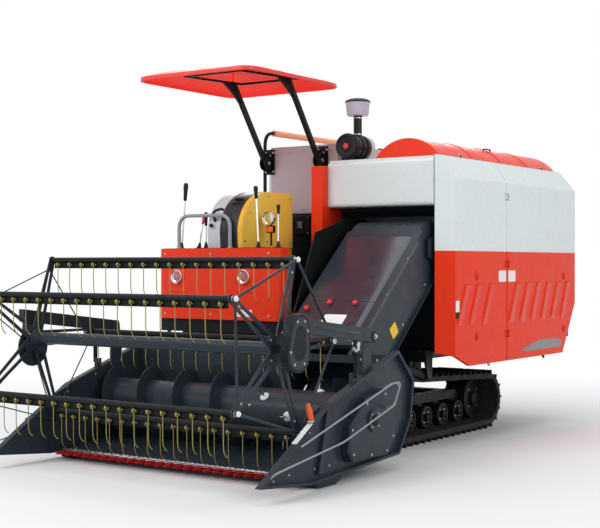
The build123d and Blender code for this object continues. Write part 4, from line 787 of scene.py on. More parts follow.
# Dividers: bolts, a cap on the drive guard, a stiffener, flanges, bent wires, an empty plate, an orange lever
NOSE_BOLTS = ((-1.33, 0.165), (-1.13, 0.14), (-0.95, 0.145), (-0.875, 0.225), (-0.875, 0.415), (-0.97, 0.49),
              (-1.18, 0.45), (-1.34, 0.31))
TRAY_BOLTS = ((-2.05, 0.106), (-1.9, 0.12), (-1.65, 0.12), (-1.5, 0.12), (-1.5, 0.4), (-1.7, 0.33),
              (-1.9, 0.24))
STIFFENER = ((-1.64, 0.085), (-1.59, 0.085), (-1.5, 0.47), (-1.545, 0.458))
NOSE_EDGE = ((-2.19, 0.0925), (-1.545, 0.4805), (-0.76, 0.7385))
GUARD_WIRE = ((1.053, -2.11, 0.13), (1.085, -2.11, 0.16), (1.115, -1.48, 0.26), (1.145, -0.96, 0.425),
              (1.145, -0.88, 0.56), (1.13, -0.96, 0.555), (1.085, -1.87, 0.275))
for hand, side_name in ((1, "left"), (-1, "right")):
    out = (hand, 0, 0)
    tray = hand * 1.026
    face = hand * (1.086 if hand > 0 else 1.068)
    hub = face + hand * 0.012
    nose = Piece().use(bright_zinc)
    nose.bolts([(face, y, z) for y, z in NOSE_BOLTS], out, 0.0062)
    nose.bolts([(hub, y, z) for y, z in ring_points(AUGER.y, AUGER.z, 0.052, 4, 45)], out, 0.0055)
    nose.use(black_paint).cap((hub, AUGER.y, AUGER.z), out, 0.034, 0.004, 0.028, 0.007)
    nose.use(bright_zinc).bolts([(tray, y, z) for y, z in TRAY_BOLTS], out, 0.0055)
    nose.use(header_paint).plate([(tray, y, z) for y, z in STIFFENER], (hand * 0.022, 0, 0), 0.006)
    for (y0, z0), (y1, z1) in zip(NOSE_EDGE, NOSE_EDGE[1:]):
        strip = [(1.019, y0, z0), (1.019, y1, z1), (1.06, y1, z1), (1.06, y0, z0)]
        nose.plate([(hand * x, y, z) for x, y, z in strip], (0, 0, 0.003), 0.001)
    # Bent wires that keep the crop off the divider
    route = rounded([(hand * min(x, WIRE_X), y, z) for x, y, z in GUARD_WIRE], 0.034, 8)
    nose.use(wire_paint).sweep(route, 0.0056, 10)
    for x, y, z in (GUARD_WIRE[3], GUARD_WIRE[5]):
        nose.rod((hand * 1.038, y, z - 0.04), (hand * (x - 0.002), y, z), 0.0066, 10)
    if hand > 0:
        blank_plate(nose, (1.04, -1.79, 0.3375), (0.19, 0.036), label_white, (0, 0.645, 0.388), RIGHT)
        # The lever that unlatches the divider
        grip = Vector((1.04, -1.7, 0.3915))
        nose.use(bright_zinc).box((-0.016, -0.022, -0.004), (0.016, 0.022, 0.012), 0.003, grip)
        handle = [(0.012, 0), (0.016, 0.012), (0.017, 0.06), (0.013, 0.1), (0.006, 0.108)]
        nose.use(orange_plastic).lathe(handle, grip + Vector((0, 0, 0.008)), (0, -0.35, 0.94), 20)
    nose.done(f"divider_{side_name}_fittings", "header", "header_grey", 35)


# Reel: belt cover, arm bolts, nuts on the bars' ends
def grown(points, share):
    """An outline in y and z made larger or smaller about its middle."""
    y = sum(p[0] for p in points) / len(points)
    z = sum(p[1] for p in points) / len(points)
    return [(y + (p[0] - y) * share, z + (p[1] - z) * share) for p in points]


rim = hull(ring_points(-1.9, 0.79, 0.1065) + ring_points(-1.88, 0.93, 0.08))
COVER_FACE = 1.0955
COVER_BOLTS = 6
COVER_STEPS = ((1.0415, 1.0), (1.092, 1.0), (DRIVE_X, 0.955), (DRIVE_X, 0.9), (COVER_FACE, 0.885),
               (COVER_FACE, 0.6), (DRIVE_X, 0.575))
ARM_PIVOT = (-1.085, 0.845)
washer = [(0.03, 0), (0.03, 0.004), (0.022, 0.006)]
cover = Piece().use(black_paint)
cover.skin([[(x, y, z) for y, z in grown(rim, share)] for x, share in COVER_STEPS])
inner_rim = grown(rim, 0.79)
for k in range(COVER_BOLTS):
    cover.use(bright_zinc).bolt((COVER_FACE, *inner_rim[k * len(rim) // COVER_BOLTS]), LEFT, 0.0062)
for way in (-1, 1):
    x = way * 1.079
    cover.use(bright_zinc).bolt((way * 1.085, *ARM_PIVOT), (way, 0, 0), 0.013, 0.012)
    cover.use(black_paint).lathe(washer, (x, *ARM_PIVOT), (way, 0, 0))
    swage(cover.use(header_paint), (x, -1.25, 0.87), (x, -1.7, 0.925), (way, 0, 0), 0.012, 0.004)
cover.done("reel_arm_fittings", "reel_arms", "header_grey", 35)

fittings = Piece()
nut = [(0.017, 0), (0.017, 0.004), (0.0125, 0.006), (0.0125, 0.013), (0.008, 0.015)]
nut_cap = [(0.0155, 0.004), (0.0165, 0.008), (0.013, 0.015), (0.0, 0.017)]
for i in range(BAR_COUNT):
    out = bar_way(i)
    spot = REEL + out * BAR_RADIUS
    fittings.use(bright_zinc).lathe(nut, spot + Vector((0.9655, 0, 0)), LEFT, 6)
    fittings.use(guide_white).lathe(nut_cap, spot + Vector((0.982, 0, 0)), LEFT, 20)
    for way in (1, -1):
        holes = [REEL + out * r + Vector((way * 0.96, 0, 0)) for r in (0.095, 0.44)]
        fittings.use(bright_zinc).bolts(holes, (way, 0, 0), 0.0058)
collar = [(0.06, 0), (0.06, 0.01), (0.046, 0.014), (0.0385, 0.04), (0.0385, 0.046)]
for way in (-1, 1):
    fittings.use(header_paint).lathe(collar, REEL + Vector((way * 0.95, 0, 0)), (-way, 0, 0), 32)
fittings.done("reel_fittings", "reel", "header_grey", 40)


# Running gear: hub caps and bolts on the wheels' outer faces
hubs = Piece()
ROLLERS = [(-0.15 + 0.247 * i, 0.15, 0.0825) for i in range(6)]
ROLLERS += [(1.345, 0.2275, 0.16), (0.272, 0.379, 0.06)]
BOLTED = 0.07
WHEEL_FACE = 0.1
SPROCKET = (-0.315, 0.42)
TRACKS = ((0.425, 1), (-0.625, -1))
for middle, side_way in TRACKS:
    for way in (-1, 1):
        face = middle + way * WHEEL_FACE
        for y, z, radius in ROLLERS:
            boss = radius * 0.35
            hubs.use(black_paint).cap((face, y, z), (way, 0, 0), boss * 0.85, 0.003, boss * 0.6, 0.006, 24)
            ring = ring_points(y, z, radius * 0.58, 4, 45) if radius > BOLTED else []
            hubs.use(bright_zinc).bolts([(face - way * 0.022, a, b) for a, b in ring], (way, 0, 0), 0.007)
    hub = middle + side_way * 0.06
    hubs.use(black_paint).cap((hub, *SPROCKET), (side_way, 0, 0), 0.045, 0.006, 0.036, 0.01)
    ring = [(hub, y, z) for y, z in ring_points(*SPROCKET, 0.056, 6)]
    hubs.use(bright_zinc).bolts(ring, (side_way, 0, 0), 0.007)
hubs.done("wheel_fittings", "chassis", "dark_metal", 40)


# Hood: swages and bezels at the lamps, a lower edge, screws, an empty plate
hood = Piece().use(red_paint)
low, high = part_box("front_hood")
LAMPS_X = (-0.82, -0.22)
for x in LAMPS_X:
    swage(hood, (x - 0.075, low.y, 1.09), (x + 0.075, low.y, 1.09), FRONT, 0.006, 0.003)
    hood.lathe([(0.064, -0.002), (0.064, 0.003), (0.058, 0.006), (0.05, 0.006)], (x, low.y, 1.19), FRONT, 40)
swage(hood, (-0.64, low.y, 1.28), (-0.4, low.y, 1.28), FRONT, 0.006, 0.003)
hood.box((low.x + 0.062, low.y - 0.002, low.z), (high.x - 0.062, low.y + 0.006, low.z + 0.022), 0.002)
screws = [(x, low.y, z) for x in (-0.935, -0.52, -0.015) for z in (0.925, 1.35)]
hood.use(bright_zinc).bolts(screws, FRONT, 0.006)
blank_plate(hood, (-0.23, low.y, 0.94), (0.15, 0.048), label_white, LEFT)
hood.use(black_paint)
hood.box((low.x + 0.03, low.y + 0.03, high.z), (high.x - 0.03, high.y - 0.004, high.z + 0.0025), 0.001)
hood.done("hood_trim", "chassis", "body_red", 35)


# Lamps
def headlamp(piece, place, radius):
    """A reflector bowl, bezel, bulb and lens that face the front."""
    bowl = ((0.96, -0.002), (1.0, 0.01), (1.0, 0.016), (0.93, 0.019), (0.86, 0.016), (0.84, 0.01),
            (0.55, 0.001), (0.2, -0.006), (0.0, -0.006))
    bulb = ((0.006, -0.004), (0.006, 0.004), (0.003, 0.008), (0.0, 0.009))
    glass = ((0.85, 0.012), (0.8, 0.016), (0.5, 0.0185), (0.0, 0.0198), (0.0, 0.0175), (0.5, 0.016),
             (0.8, 0.0135))
    for finish, profile in ((chrome, bowl), (lens, glass)):
        piece.use(finish).lathe([(radius * share, height) for share, height in profile], place, FRONT, 40)
    piece.use(guide_white).lathe(bulb, place, FRONT, 14)


lamps = Piece()
for x in LAMPS_X:
    headlamp(lamps, (x, -0.6655, 1.19), 0.05)
LAMP = Vector((-0.2, -0.4, 1.6))
STEM_Y = LAMP.y + 0.02
FLANGE_Z = 1.3975
lamps.use(chrome).lathe([(0.01, -0.045), (0.024, -0.043), (0.04, -0.02), (0.05, 0.008)], LAMP, FRONT, 36)
headlamp(lamps, LAMP + Vector((0, -0.0015, 0)), 0.052)
lamps.use(black_paint).box((-0.034, -0.004, -0.102), (0.034, 0.031, -0.048), 0.006, LAMP)
lamps.use(amber).box((-0.031, -0.0085, -0.099), (0.031, 0.002, -0.053), 0.006, LAMP)
lamps.use(black_paint).rod((LAMP.x, STEM_Y, 1.391), (LAMP.x, STEM_Y, LAMP.z - 0.04), 0.0075, 14)
lamps.box((LAMP.x - 0.019, -0.554, 1.3905), (LAMP.x + 0.019, -0.361, FLANGE_Z), 0.002)
lamps.use(bright_zinc).bolt((LAMP.x, -0.5, FLANGE_Z), TOP, 0.007)
lamps.bolt((LAMP.x, STEM_Y, FLANGE_Z), TOP, 0.011, 0.01)
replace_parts(lamps.done("lamp_set", "chassis", "lamp", 40), "lamps")


# Levers and the handle on the hood
levers = Piece()
HOOD_TOP = 1.39
HANDLE_X = (-0.848, -0.384)
HANDLE_Y = -0.615


def lever(foot_xy, knob_low, knob_high, finish, radius):
    """A plated lever with its rubber boot and a waisted knob."""
    foot, knob_low, knob_high = Vector((*foot_xy, HOOD_TOP)), Vector(knob_low), Vector(knob_high)
    axis = (knob_low - foot).normalized()
    levers.use(black_paint).box((-0.024, -0.02, 0), (0.024, 0.02, 0.006), 0.002, foot)
    boot = [(0.019, 0.004)]
    for k in range(4):
        boot += [(0.017 - 0.0022 * k, 0.01 + 0.009 * k), (0.0135 - 0.0018 * k, 0.0145 + 0.009 * k)]
    levers.use(grip_rubber).lathe([*boot, (0.0078, 0.046)], foot, axis, 20)
    levers.use(chrome).rod(foot + axis * 0.01, knob_low, 0.0072, 14, 0.006)
    long = (knob_high - knob_low).length
    waist = ((0.7, 0.0), (0.8, 0.4), (1, 0.72), (0.98, 0.86), (0.7, 0.97), (0.0, 1))
    profile = [(radius * 0.55, -0.004)] + [(radius * wide, long * share) for wide, share in waist]
    levers.use(finish).lathe(profile, knob_low, knob_high - knob_low, 22)


lever((-0.872, -0.56), (-0.838, -0.56, 1.74), (-0.829, -0.56, 1.867), grip_plastic, 0.0175)
lever((-0.632, -0.575), (-0.632, -0.575, 1.556), (-0.632, -0.575, 1.651), grip_plastic, 0.0145)
lever((-0.166, -0.575), (-0.186, -0.575, 1.735), (-0.192, -0.575, 1.822), grip_plastic, 0.016)
lever((0.006, -0.58), (0.006, -0.58, 1.625), (0.006, -0.58, 1.688), grip_plastic, 0.013)
lever((-0.7, -0.57), (-0.74, -0.48, 1.57), (-0.75, -0.45, 1.62), knob_red, 0.0135)
path = [(HANDLE_X[0], HOOD_TOP), (HANDLE_X[0], 1.624), (HANDLE_X[1], 1.624), (HANDLE_X[1], HOOD_TOP)]
levers.use(wire_paint).sweep(rounded([(x, HANDLE_Y, z) for x, z in path], 0.095, 10), 0.013, 16)
for x in HANDLE_X:
    foot = [(0.024, 0.0005), (0.024, 0.004), (0.018, 0.006), (0.0122, 0.012)]
    levers.lathe(foot, (x, HANDLE_Y, HOOD_TOP), TOP, 24)
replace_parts(levers.done("lever_set", "chassis", "steel", 40), "controls")


# Console: the yellow side plate, band edges, switches and a hooked lever
console = Piece().use(yellow_paint)
profile = [(0.019, 1.395), (0.019, 1.796), (-0.3, 1.796), (-0.365, 1.786), (-0.425, 1.762), (-0.478, 1.73),
           (-0.522, 1.69), (-0.56, 1.636), (-0.584, 1.57), (-0.596, 1.503), (-0.594, 1.395)]
console.plate([(-0.3005, y, z) for y, z in profile], (0.005, 0, 0), 0.002)
screws = ((-0.02, 1.44), (-0.02, 1.76), (-0.28, 1.765), (-0.5, 1.64), (-0.56, 1.44), (-0.3, 1.44))
console.use(bright_zinc).bolts([(-0.2955, y, z) for y, z in screws], LEFT, 0.006)
for x in (-0.337, -0.486):
    console.use(black_paint).sweep([(x, y, z) for y, z in profile[2:-1]], 0.0022, 6)
console.use(grip_plastic)
for y, z in ((-0.475, 1.735), (-0.505, 1.7)):
    for x in (-0.385, -0.41, -0.435):
        console.box((x - 0.008, y - 0.012, z - 0.004), (x + 0.008, y + 0.01, z + 0.014), 0.003)
# A hooked lever and its round knob, from a slot in the pale band
hooked = [(-0.545, -0.56, 1.56), (-0.536, -0.6, 1.6), (-0.53, -0.622, 1.65), (-0.47, -0.61, 1.668),
          (-0.45, -0.602, 1.66)]
BALL = (-0.554, -0.612, 1.552)
console.sweep(rounded(hooked, 0.03), 0.0095, 12)
console.lathe([(0.0, -0.013), (0.011, -0.008), (0.0155, 0.0), (0.012, 0.01), (0.0, 0.014)], BALL, FRONT, 20)
console.use(chrome).rod((-0.554, -0.585, 1.545), BALL, 0.005, 12)
console.done("console_trim", "chassis", "console_yellow", 35)


# Canopy: one moulded shell, crowned, on a light frame with two posts
low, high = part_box("canopy_roof")
CANOPY = (low + high) / 2
HALF_X = (high.x - low.x) / 2
HALF_Y = (high.y - low.y) / 2
RIM_Z = low.z - 0.01
CROWN_Z = high.z - 0.004
SKIRT = 0.03
SHELL = 0.009
SQUARENESS = 12.0
RING_COUNT = 104


def canopy_top(share):
    """The shell's height where a line from the middle to the rim is at this share of its length."""
    return RIM_Z + SKIRT + (CROWN_Z - RIM_Z - SKIRT) * (1 - share ** 2.6)


def canopy_ring(share, z):
    ring = []
    for k in range(RING_COUNT):
        a = 2 * math.pi * (k + 0.5) / RING_COUNT
        c, s = math.cos(a), math.sin(a)
        reach = (abs(c / HALF_X) ** SQUARENESS + abs(s / HALF_Y) ** SQUARENESS) ** (-1 / SQUARENESS)
        ring.append((CANOPY.x + c * reach * share, CANOPY.y + s * reach * share, z))
    return ring


def canopy_under(x, y):
    share = (abs((x - CANOPY.x) / HALF_X) ** SQUARENESS
             + abs((y - CANOPY.y) / HALF_Y) ** SQUARENESS) ** (1 / SQUARENESS)
    return canopy_top(min(1.0, share / 0.985)) - SHELL


roof = Piece().use(canopy_lining_painted_glow)
shares = (0.995, 0.98, 0.95, 0.91, 0.86, 0.8, 0.73, 0.65, 0.56, 0.46, 0.35, 0.23, 0.1, 1e-8)
rings = [canopy_ring(s * 0.985, canopy_top(s) - SHELL) for s in reversed(shares)]
rim = [canopy_ring(0.986, RIM_Z + 0.003), canopy_ring(0.992, RIM_Z), canopy_ring(1.0, RIM_Z + 0.004),
       canopy_ring(1.0, RIM_Z + 0.011)]
# The underside and the rim's inner edge carry the painted glow; the outer rim and the crowned top do not
roof.skin(rings + rim[:2], caps=False)
roof.use(canopy_plastic).skin(rim[1:] + [canopy_ring(s, canopy_top(s)) for s in shares], caps=False)
# Ribs under the shell, in its painted glow, and the caps of the bolts that hold it
BOLTS_Y = (-0.6, -0.215)
for y in (-0.66, -0.345, 0.03):
    along = [CANOPY.x + HALF_X * 0.88 * (k / 12 - 1) for k in range(25)]
    roof.use(canopy_lining_painted_glow).sweep([(x, y, canopy_under(x, y) + 0.001) for x in along], 0.0045, 8)
for x in POSTS_X:
    for y in BOLTS_Y:
        profile = [(0.014, -0.004), (0.014, 0.002), (0.009, 0.004), (0.0, 0.004)]
        roof.use(bright_zinc).lathe(profile, (x, y, canopy_under(x, y) + SHELL), TOP, 18)
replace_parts(roof.done("canopy_shell", "chassis", "canopy_plastic", 40), "canopy_roof")

posts = Piece().use(black_paint)
BAR_FRONT = (-0.766, 2.588)
BAR_REAR = (-0.1, 2.61)
BAR_DEEP = 0.016
FOOT = Vector((0, 0.205, 2.05))
BACK_Y = 0.247


def across(outline, x, half):
    """A flat piece of the frame, as thick to either side of x as the half."""
    posts.plate([(x - half, y, z) for y, z in outline], (half * 2, 0, 0))


bar = [BAR_FRONT, BAR_REAR, (BAR_REAR[0], BAR_REAR[1] + BAR_DEEP), (BAR_FRONT[0], BAR_FRONT[1] + BAR_DEEP)]
post = [(0.184, 2.03), (0.224, 2.03), (-0.193, 2.622), (-0.235, 2.622)]
# The web that widens the post towards the frame has a curved edge
top_end, low_end, bend = Vector((-0.35, 2.611)), Vector((-0.102, 2.44)), Vector((-0.228, 2.56))
web = [(-0.2, 2.62), *bent(top_end, bend, low_end, 8)]
# The cheeks of the bracket on the tank have round ends
turns = [math.radians(100 + 170 * k / 12) for k in range(13)]
cheek = [(BACK_Y, 2.13), (0.198, 2.13)]
cheek += [(FOOT.y + 0.056 * math.cos(a), FOOT.z + 0.056 * math.sin(a)) for a in turns] + [(BACK_Y, 1.985)]
for x in POSTS_X:
    across(bar, x, 0.008)
    for y in BOLTS_Y:
        # Spacers under the shell, in the underside's painted glow
        posts.use(canopy_lining_painted_glow)
        posts.box((x - 0.008, y - 0.008, 2.6), (x + 0.008, y + 0.008, canopy_under(x, y) + 0.003))
    posts.use(black_paint)
    across(post, x, 0.015)
    across(web, x, 0.009)
    posts.box((x - 0.045, BACK_Y, 1.965), (x + 0.045, 0.255, 2.158), 0.002)
    for middle in (x - 0.021, x + 0.021):
        across(cheek, middle, 0.004)
    posts.use(bright_zinc)
    for way in (-1, 1):
        posts.bolt((x + way * 0.025, FOOT.y, FOOT.z), (way, 0, 0), 0.012, 0.01)
        posts.bolt((x + way * 0.025, 0.222, 2.108), (way, 0, 0), 0.007)
        posts.bolts([(x + way * 0.036, BACK_Y, z) for z in (1.99, 2.13)], FRONT, 0.007)
    posts.use(grip_plastic).box((x - 0.007, -0.7685, 2.589), (x + 0.007, -0.7655, 2.603), 0.001)
    posts.use(black_paint)
for y, z in (BAR_FRONT, (BAR_REAR[0] - BAR_DEEP, BAR_REAR[1])):
    posts.box((POSTS_X[0], y, z), (POSTS_X[1], y + BAR_DEEP, z + BAR_DEEP))
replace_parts(posts.done("canopy_frame", "chassis", "frame_black", 40), "canopy_posts")


# Air cleaner: ribbed drum, clamped pipe, pale bowl under a dark cap
air = Piece()
DRUM = Vector((0.115, 0.1, 2.134))
PIPE = Vector((0.135, 0.235, 2.134))
BOWL = Vector((0.135, 0.235, 2.36))
WALL, GROOVE = 0.088, 0.084
drum_profile = [(0.03, 0.01), (0.066, 0.008), (0.071, 0.0), (0.083, 0.0), (WALL, 0.005)]
for near, far in ((0.05, 0.062), (0.1, 0.112), (0.15, 0.164)):
    drum_profile += [(WALL, near), (GROOVE, near + 0.002), (GROOVE, far - 0.002), (WALL, far)]
air.use(intake_plastic).lathe(drum_profile + [(WALL, 0.262), (0.08, 0.275), (0.0, 0.275)], DRUM, REAR, 48)
for y in (0.019, 0.108, 0.173):
    air.use(black_paint).band(DRUM + Vector((0, y + 0.007, 0)), REAR, 0.0885, 0.0935, 0.007, 0.001, 48)
    air.box((-0.048, y + 0.001, -0.103), (0.048, y + 0.013, -0.07), 0.002, DRUM)
end_ring = [(0.0, 0.009), (0.03, 0.009), (0.034, 0.004), (0.04, 0.004), (0.044, 0.0105)]
air.use(intake_plastic).lathe(end_ring, DRUM, REAR, 36)
disc = [(0.02, 0.01), (0.021, 0.0), (0.018, 0.0), (0.0, 0.0)]
air.use(knob_red).lathe(disc, DRUM + Vector((0, 0.0005, 0)), REAR)
air.use(pale_paint).band(DRUM + Vector((0, 0.245, 0)), REAR, 0.0885, 0.0905, 0.023, 0.002, 48)
pipe_profile = [(0.042, 0.06), (0.036, 0.078), (0.0305, 0.082), (0.0305, 0.226)]
air.use(intake_plastic).lathe(pipe_profile, PIPE, TOP, 32)
for z in (0.092, 0.212):
    air.use(bright_zinc).band(PIPE + Vector((0, 0, z)), TOP, 0.0308, 0.0325, 0.005, 0.001, 32)
    air.box((-0.01, -0.04, z - 0.004), (0.01, -0.031, z + 0.004), 0.0015, PIPE)
bowl_profile = [(0.034, 0.0), (0.072, 0.001), (0.077, 0.005), (0.0795, 0.02), (0.0845, 0.06), (0.0895, 0.098),
                (0.0905, 0.101)]
air.use(bowl_plastic).lathe(bowl_profile, BOWL, TOP, 56)
for x, y in ring_points(0, 0, 1.0, 28):
    foot, head = Vector((x * 0.0785, y * 0.0785, 0.01)), Vector((x * 0.0875, y * 0.0875, 0.092))
    air.rod(BOWL + foot, BOWL + head, 0.0012, 6)
lid_profile = [(0.086, 0.098), (0.0945, 0.1), (0.0948, 0.106), (0.09, 0.112), (0.074, 0.122), (0.04, 0.131),
               (0.016, 0.133)]
air.use(intake_plastic).lathe(lid_profile, BOWL, TOP, 56)
air.lathe([(0.013, 0.13), (0.013, 0.1335), (0.0, 0.1338)], BOWL, TOP, 20)
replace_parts(air.done("air_cleaner", "chassis", "intake_plastic", 35), "air_intake")


# Grab rail with its orange foam sleeve, painted paler as a painted highlight
rail = Piece().use(black_paint)
RAIL_X = -0.74
RAIL_Y = 0.282
RAIL_TOP = 2.3
route = [(RAIL_Y, 1.6), (RAIL_Y, RAIL_TOP), (1.44, RAIL_TOP), (1.44, 2.172)]
rail.sweep(rounded([(RAIL_X, y, z) for y, z in route], 0.11, 10), 0.0138, 16)
for z in (1.66, 2.06):
    rail.rod((RAIL_X, RAIL_Y, z), (RAIL_X, 0.343, z), 0.0095, 14)
    rail.box((RAIL_X - 0.024, 0.335, z - 0.024), (RAIL_X + 0.018, 0.343, z + 0.024), 0.002)
rail.box((RAIL_X - 0.022, 1.418, 2.1725), (RAIL_X + 0.022, 1.462, 2.179), 0.002)
sleeve = [(0.014, 0.0), (0.0235, 0.002), (0.0245, 0.01)]
sleeve += [(0.0245 - 0.0008 * (k % 2), 0.01 + 0.0585 * k) for k in range(1, 16)]
sleeve += [(0.0245, 0.948), (0.0235, 0.956), (0.014, 0.958)]
rail.use(sleeve_foam_painted_highlight).lathe(sleeve, (RAIL_X, 0.392, RAIL_TOP), REAR)
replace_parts(rail.done("grab_rail", "chassis", "frame_black", 40), "tank_rail")


# Grain tank: lid handle, hinges, rim, screws, and the dark box on its front
tank = Piece().use(tank_paint)
TANK_TOP = 2.15
RIM_LOW, RIM_HIGH = TANK_TOP - 0.03, TANK_TOP - 0.006
HINGE_Z = 2.1765
rim_plan = [(-0.0515, 0.2535), (-0.6605, 0.2535), (-0.9715, 0.6495), (-0.9715, 2.1835), (-0.0515, 2.1835)]
for (x0, y0), (x1, y1) in zip(rim_plan, rim_plan[1:]):
    out = Vector((y1 - y0, x0 - x1, 0)).normalized()
    rim = [(x0, y0, RIM_LOW), (x1, y1, RIM_LOW), (x1, y1, RIM_HIGH), (x0, y0, RIM_HIGH)]
    tank.plate(rim, out * 0.006, 0.002)
for y in (0.9, 1.4, 1.9):
    tank.use(black_paint).rod((-0.06, y - 0.045, HINGE_Z), (-0.06, y + 0.045, HINGE_Z), 0.0075, 14)
    tank.box((-0.1, y - 0.03, 2.1722), (-0.062, y + 0.03, HINGE_Z), 0.001)
handle = [(1.3, 2.173), (1.3, 2.196), (1.48, 2.196), (1.48, 2.173)]
tank.sweep(rounded([(-0.9, y, z) for y, z in handle], 0.018), 0.006, 10)
tank.use(bright_zinc)
tank.bolts([(x, 0.2475, TANK_TOP - 0.018) for x in (-0.64, -0.5, -0.36, -0.12)], FRONT, 0.0055)
tank.bolts([(x, 0.255, 1.69) for x in (-0.6, -0.36, -0.13)], FRONT, 0.006)
tank.use(black_paint).box((-0.655, 0.244, 0.9), (-0.118, 0.2545, 1.662), 0.003)
tank.use(dark_paint).box((-0.442, 0.205, 1.497), (-0.277, 0.245, 1.648), 0.008)
tank.use(bright_zinc)
tank.bolts([(x, 0.205, z) for z in (1.512, 1.634) for x in (-0.43, -0.289)], FRONT, 0.005)
tank.use(steel).box((-0.38, 0.1985, 1.545), (-0.339, 0.2055, 1.6), 0.003)
tank.done("tank_fittings", "chassis", "tank_grey", 35)


# Drum cover: stiffening beads, lift handle, latches
lid = Piece().use(red_paint)
DOME_X = 0.575
DOME_HALF = 0.245
DOME_RADIUS = 0.3162
DOME_MIDDLE = 2.031 - 0.1762
for y in (0.7, 1.18, 1.66):
    bead = []
    for k in range(25):
        x = DOME_HALF * (k / 12 - 1)
        bead.append((DOME_X + x, y, DOME_MIDDLE + math.sqrt(DOME_RADIUS ** 2 - x * x) + 0.0005))
    lid.sweep(bead, 0.0045, 8)
handle = [(0.7, 1.12, 2.135), (0.712, 1.12, 2.158), (0.712, 1.24, 2.158), (0.7, 1.24, 2.135)]
lid.use(black_paint).sweep(rounded(handle, 0.014), 0.0055, 10)
for y in (0.48, 1.88):
    lid.use(bright_zinc).box((0.834, y - 0.02, 2.034), (0.8455, y + 0.02, 2.062), 0.002)
    lid.use(black_paint).box((0.845, y - 0.01, 2.036), (0.8495, y + 0.01, 2.058), 0.002)
lid.done("drum_cover_trim", "drum_cover", "body_red", 40)


# Platform: ribbed mat, pedals, step treads
floor_kit = Piece().use(grip_rubber)
floor_kit.box((-0.99, -0.528, 0.89), (-0.612, -0.312, 0.8955), 0.002)
for k in range(10):
    y = -0.518 + 0.0215 * k
    floor_kit.box((-0.98, y, 0.895), (-0.622, y + 0.01, 0.8985), 0.0012)
for x in (-0.9, -0.74):
    pedal = [(x - 0.035, -0.528, 0.972), (x + 0.035, -0.528, 0.972), (x + 0.035, -0.478, 1.004),
             (x - 0.035, -0.478, 1.004)]
    floor_kit.use(black_paint).rod((x, -0.56, 0.905), (x, -0.5, 0.985), 0.008, 12)
    floor_kit.use(grip_rubber).plate(pedal, (0, -0.005, 0.01), 0.003)
floor_kit.use(black_paint)
for z in (0.432, 0.632):
    for k in range(9):
        x = -0.984 + 0.0125 * k
        floor_kit.box((x, -0.574, z - 0.0005), (x + 0.005, -0.286, z + 0.004), 0.001)
floor_kit.done("platform_fittings", "chassis", "frame_black", 35)


# Engine cover: a screen behind the louvres, bolts, a latch
shield = Piece().use(black_paint)
SCREEN_X = -0.9435
SCREEN_MESH = 0.012
SHIELD_X = -0.96
for y0, y1 in ((-0.255, -0.04), (-0.02, 0.22)):
    for z in (0.765 + 0.03 * k for k in range(14)):
        shield.rod((SCREEN_X, y0, z), (SCREEN_X, y1, z), 0.0011, 5)
    count = int((y1 - y0) / SCREEN_MESH)
    for y in (y0 + (y1 - y0) * k / count for k in range(count + 1)):
        shield.rod((SCREEN_X, y, 0.755), (SCREEN_X, y, 1.165), 0.0009, 5)
shield.use(bright_zinc)
shield.bolts([(SHIELD_X, y, z) for y in (-0.278, 0.232) for z in (0.74, 0.96, 1.19)], RIGHT, 0.0065)
shield.use(black_paint).box((SHIELD_X - 0.008, -0.03, 1.185), (SHIELD_X, 0.02, 1.215), 0.003)
shield.done("engine_cover_fittings", "chassis", "body_dark", 35)


# Unloading tube: clamped bands, the spout's rubber lips, an end cap
tube = Piece()
BOOM_Y, BOOM_Z = COLUMN[1], 2.13
for x in (-0.7, -0.25, 0.13):
    tube.use(bright_zinc).band((x, BOOM_Y, BOOM_Z), LEFT, 0.0562, 0.0585, 0.01, 0.001)
    tube.box((x - 0.007, BOOM_Y - 0.01, BOOM_Z + 0.057), (x + 0.007, BOOM_Y + 0.01, BOOM_Z + 0.068), 0.002)
for x in (0.166, 0.31):
    tube.use(grip_rubber).box((x, 2.203, 2.0445), (x + 0.004, 2.321, 2.1), 0.001)
tube.use(red_paint).cap((0.3165, BOOM_Y, BOOM_Z), LEFT, 0.0565, 0.003, 0.04, 0.005, 40)
tube.done("unloading_fittings", "unload_boom", "body_red", 40)

# Rear end: lamps, ribs, bolts, and clamps on the column
tail = Piece()
low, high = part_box("straw_hood")
for x in (0.14, 0.7):
    tail.use(black_paint).box((x, high.y - 0.004, 0.8), (x + 0.05, high.y - 0.0005, 0.9), 0.001)
    for finish, z in ((amber, 0.852), (knob_red, 0.804)):
        tail.use(finish).box((x + 0.004, high.y - 0.003, z), (x + 0.046, high.y, z + 0.044), 0.001)
for x in (0.23 + 0.055 * k for k in range(9)):
    y = high.y - 0.0045
    swage(tail.use(dark_paint), (x, y, 0.96), (x, y, 1.18), REAR, 0.009, 0.004)
tail.use(bright_zinc)
tail.bolts([(x, high.y - 0.0065, z) for x in (0.1, 0.44, 0.78) for z in (0.78, 1.225)], REAR, 0.005, 0.005)
tail.bolts([(x, 2.31, z) for x in (0.03, 0.24, 0.45, 0.66, 0.86) for z in (0.74, 1.48, 1.85)], REAR)
tail.bolts([(x, y, 0.86) for x, y in ring_points(*COLUMN, 0.06, 6, 30)], TOP, 0.006)
for z in (1.15, 1.6):
    tail.use(tank_paint).band((*COLUMN, z), TOP, 0.0722, 0.0745, 0.012, 0.002)
    tail.box((-0.82, 2.184, z - 0.01), (-0.78, 2.2, z + 0.01), 0.002)
tail.done("rear_fittings", "chassis", "body_dark", 40)


# Seat: two stuffed cushions with welts, on a pan and a moulded back shell
def settle(made):
    """Makes what the modifiers give the object's own mesh."""
    graph = bpy.context.evaluated_depsgraph_get()
    made.data = bpy.data.meshes.new_from_object(made.evaluated_get(graph))
    made.modifiers.clear()


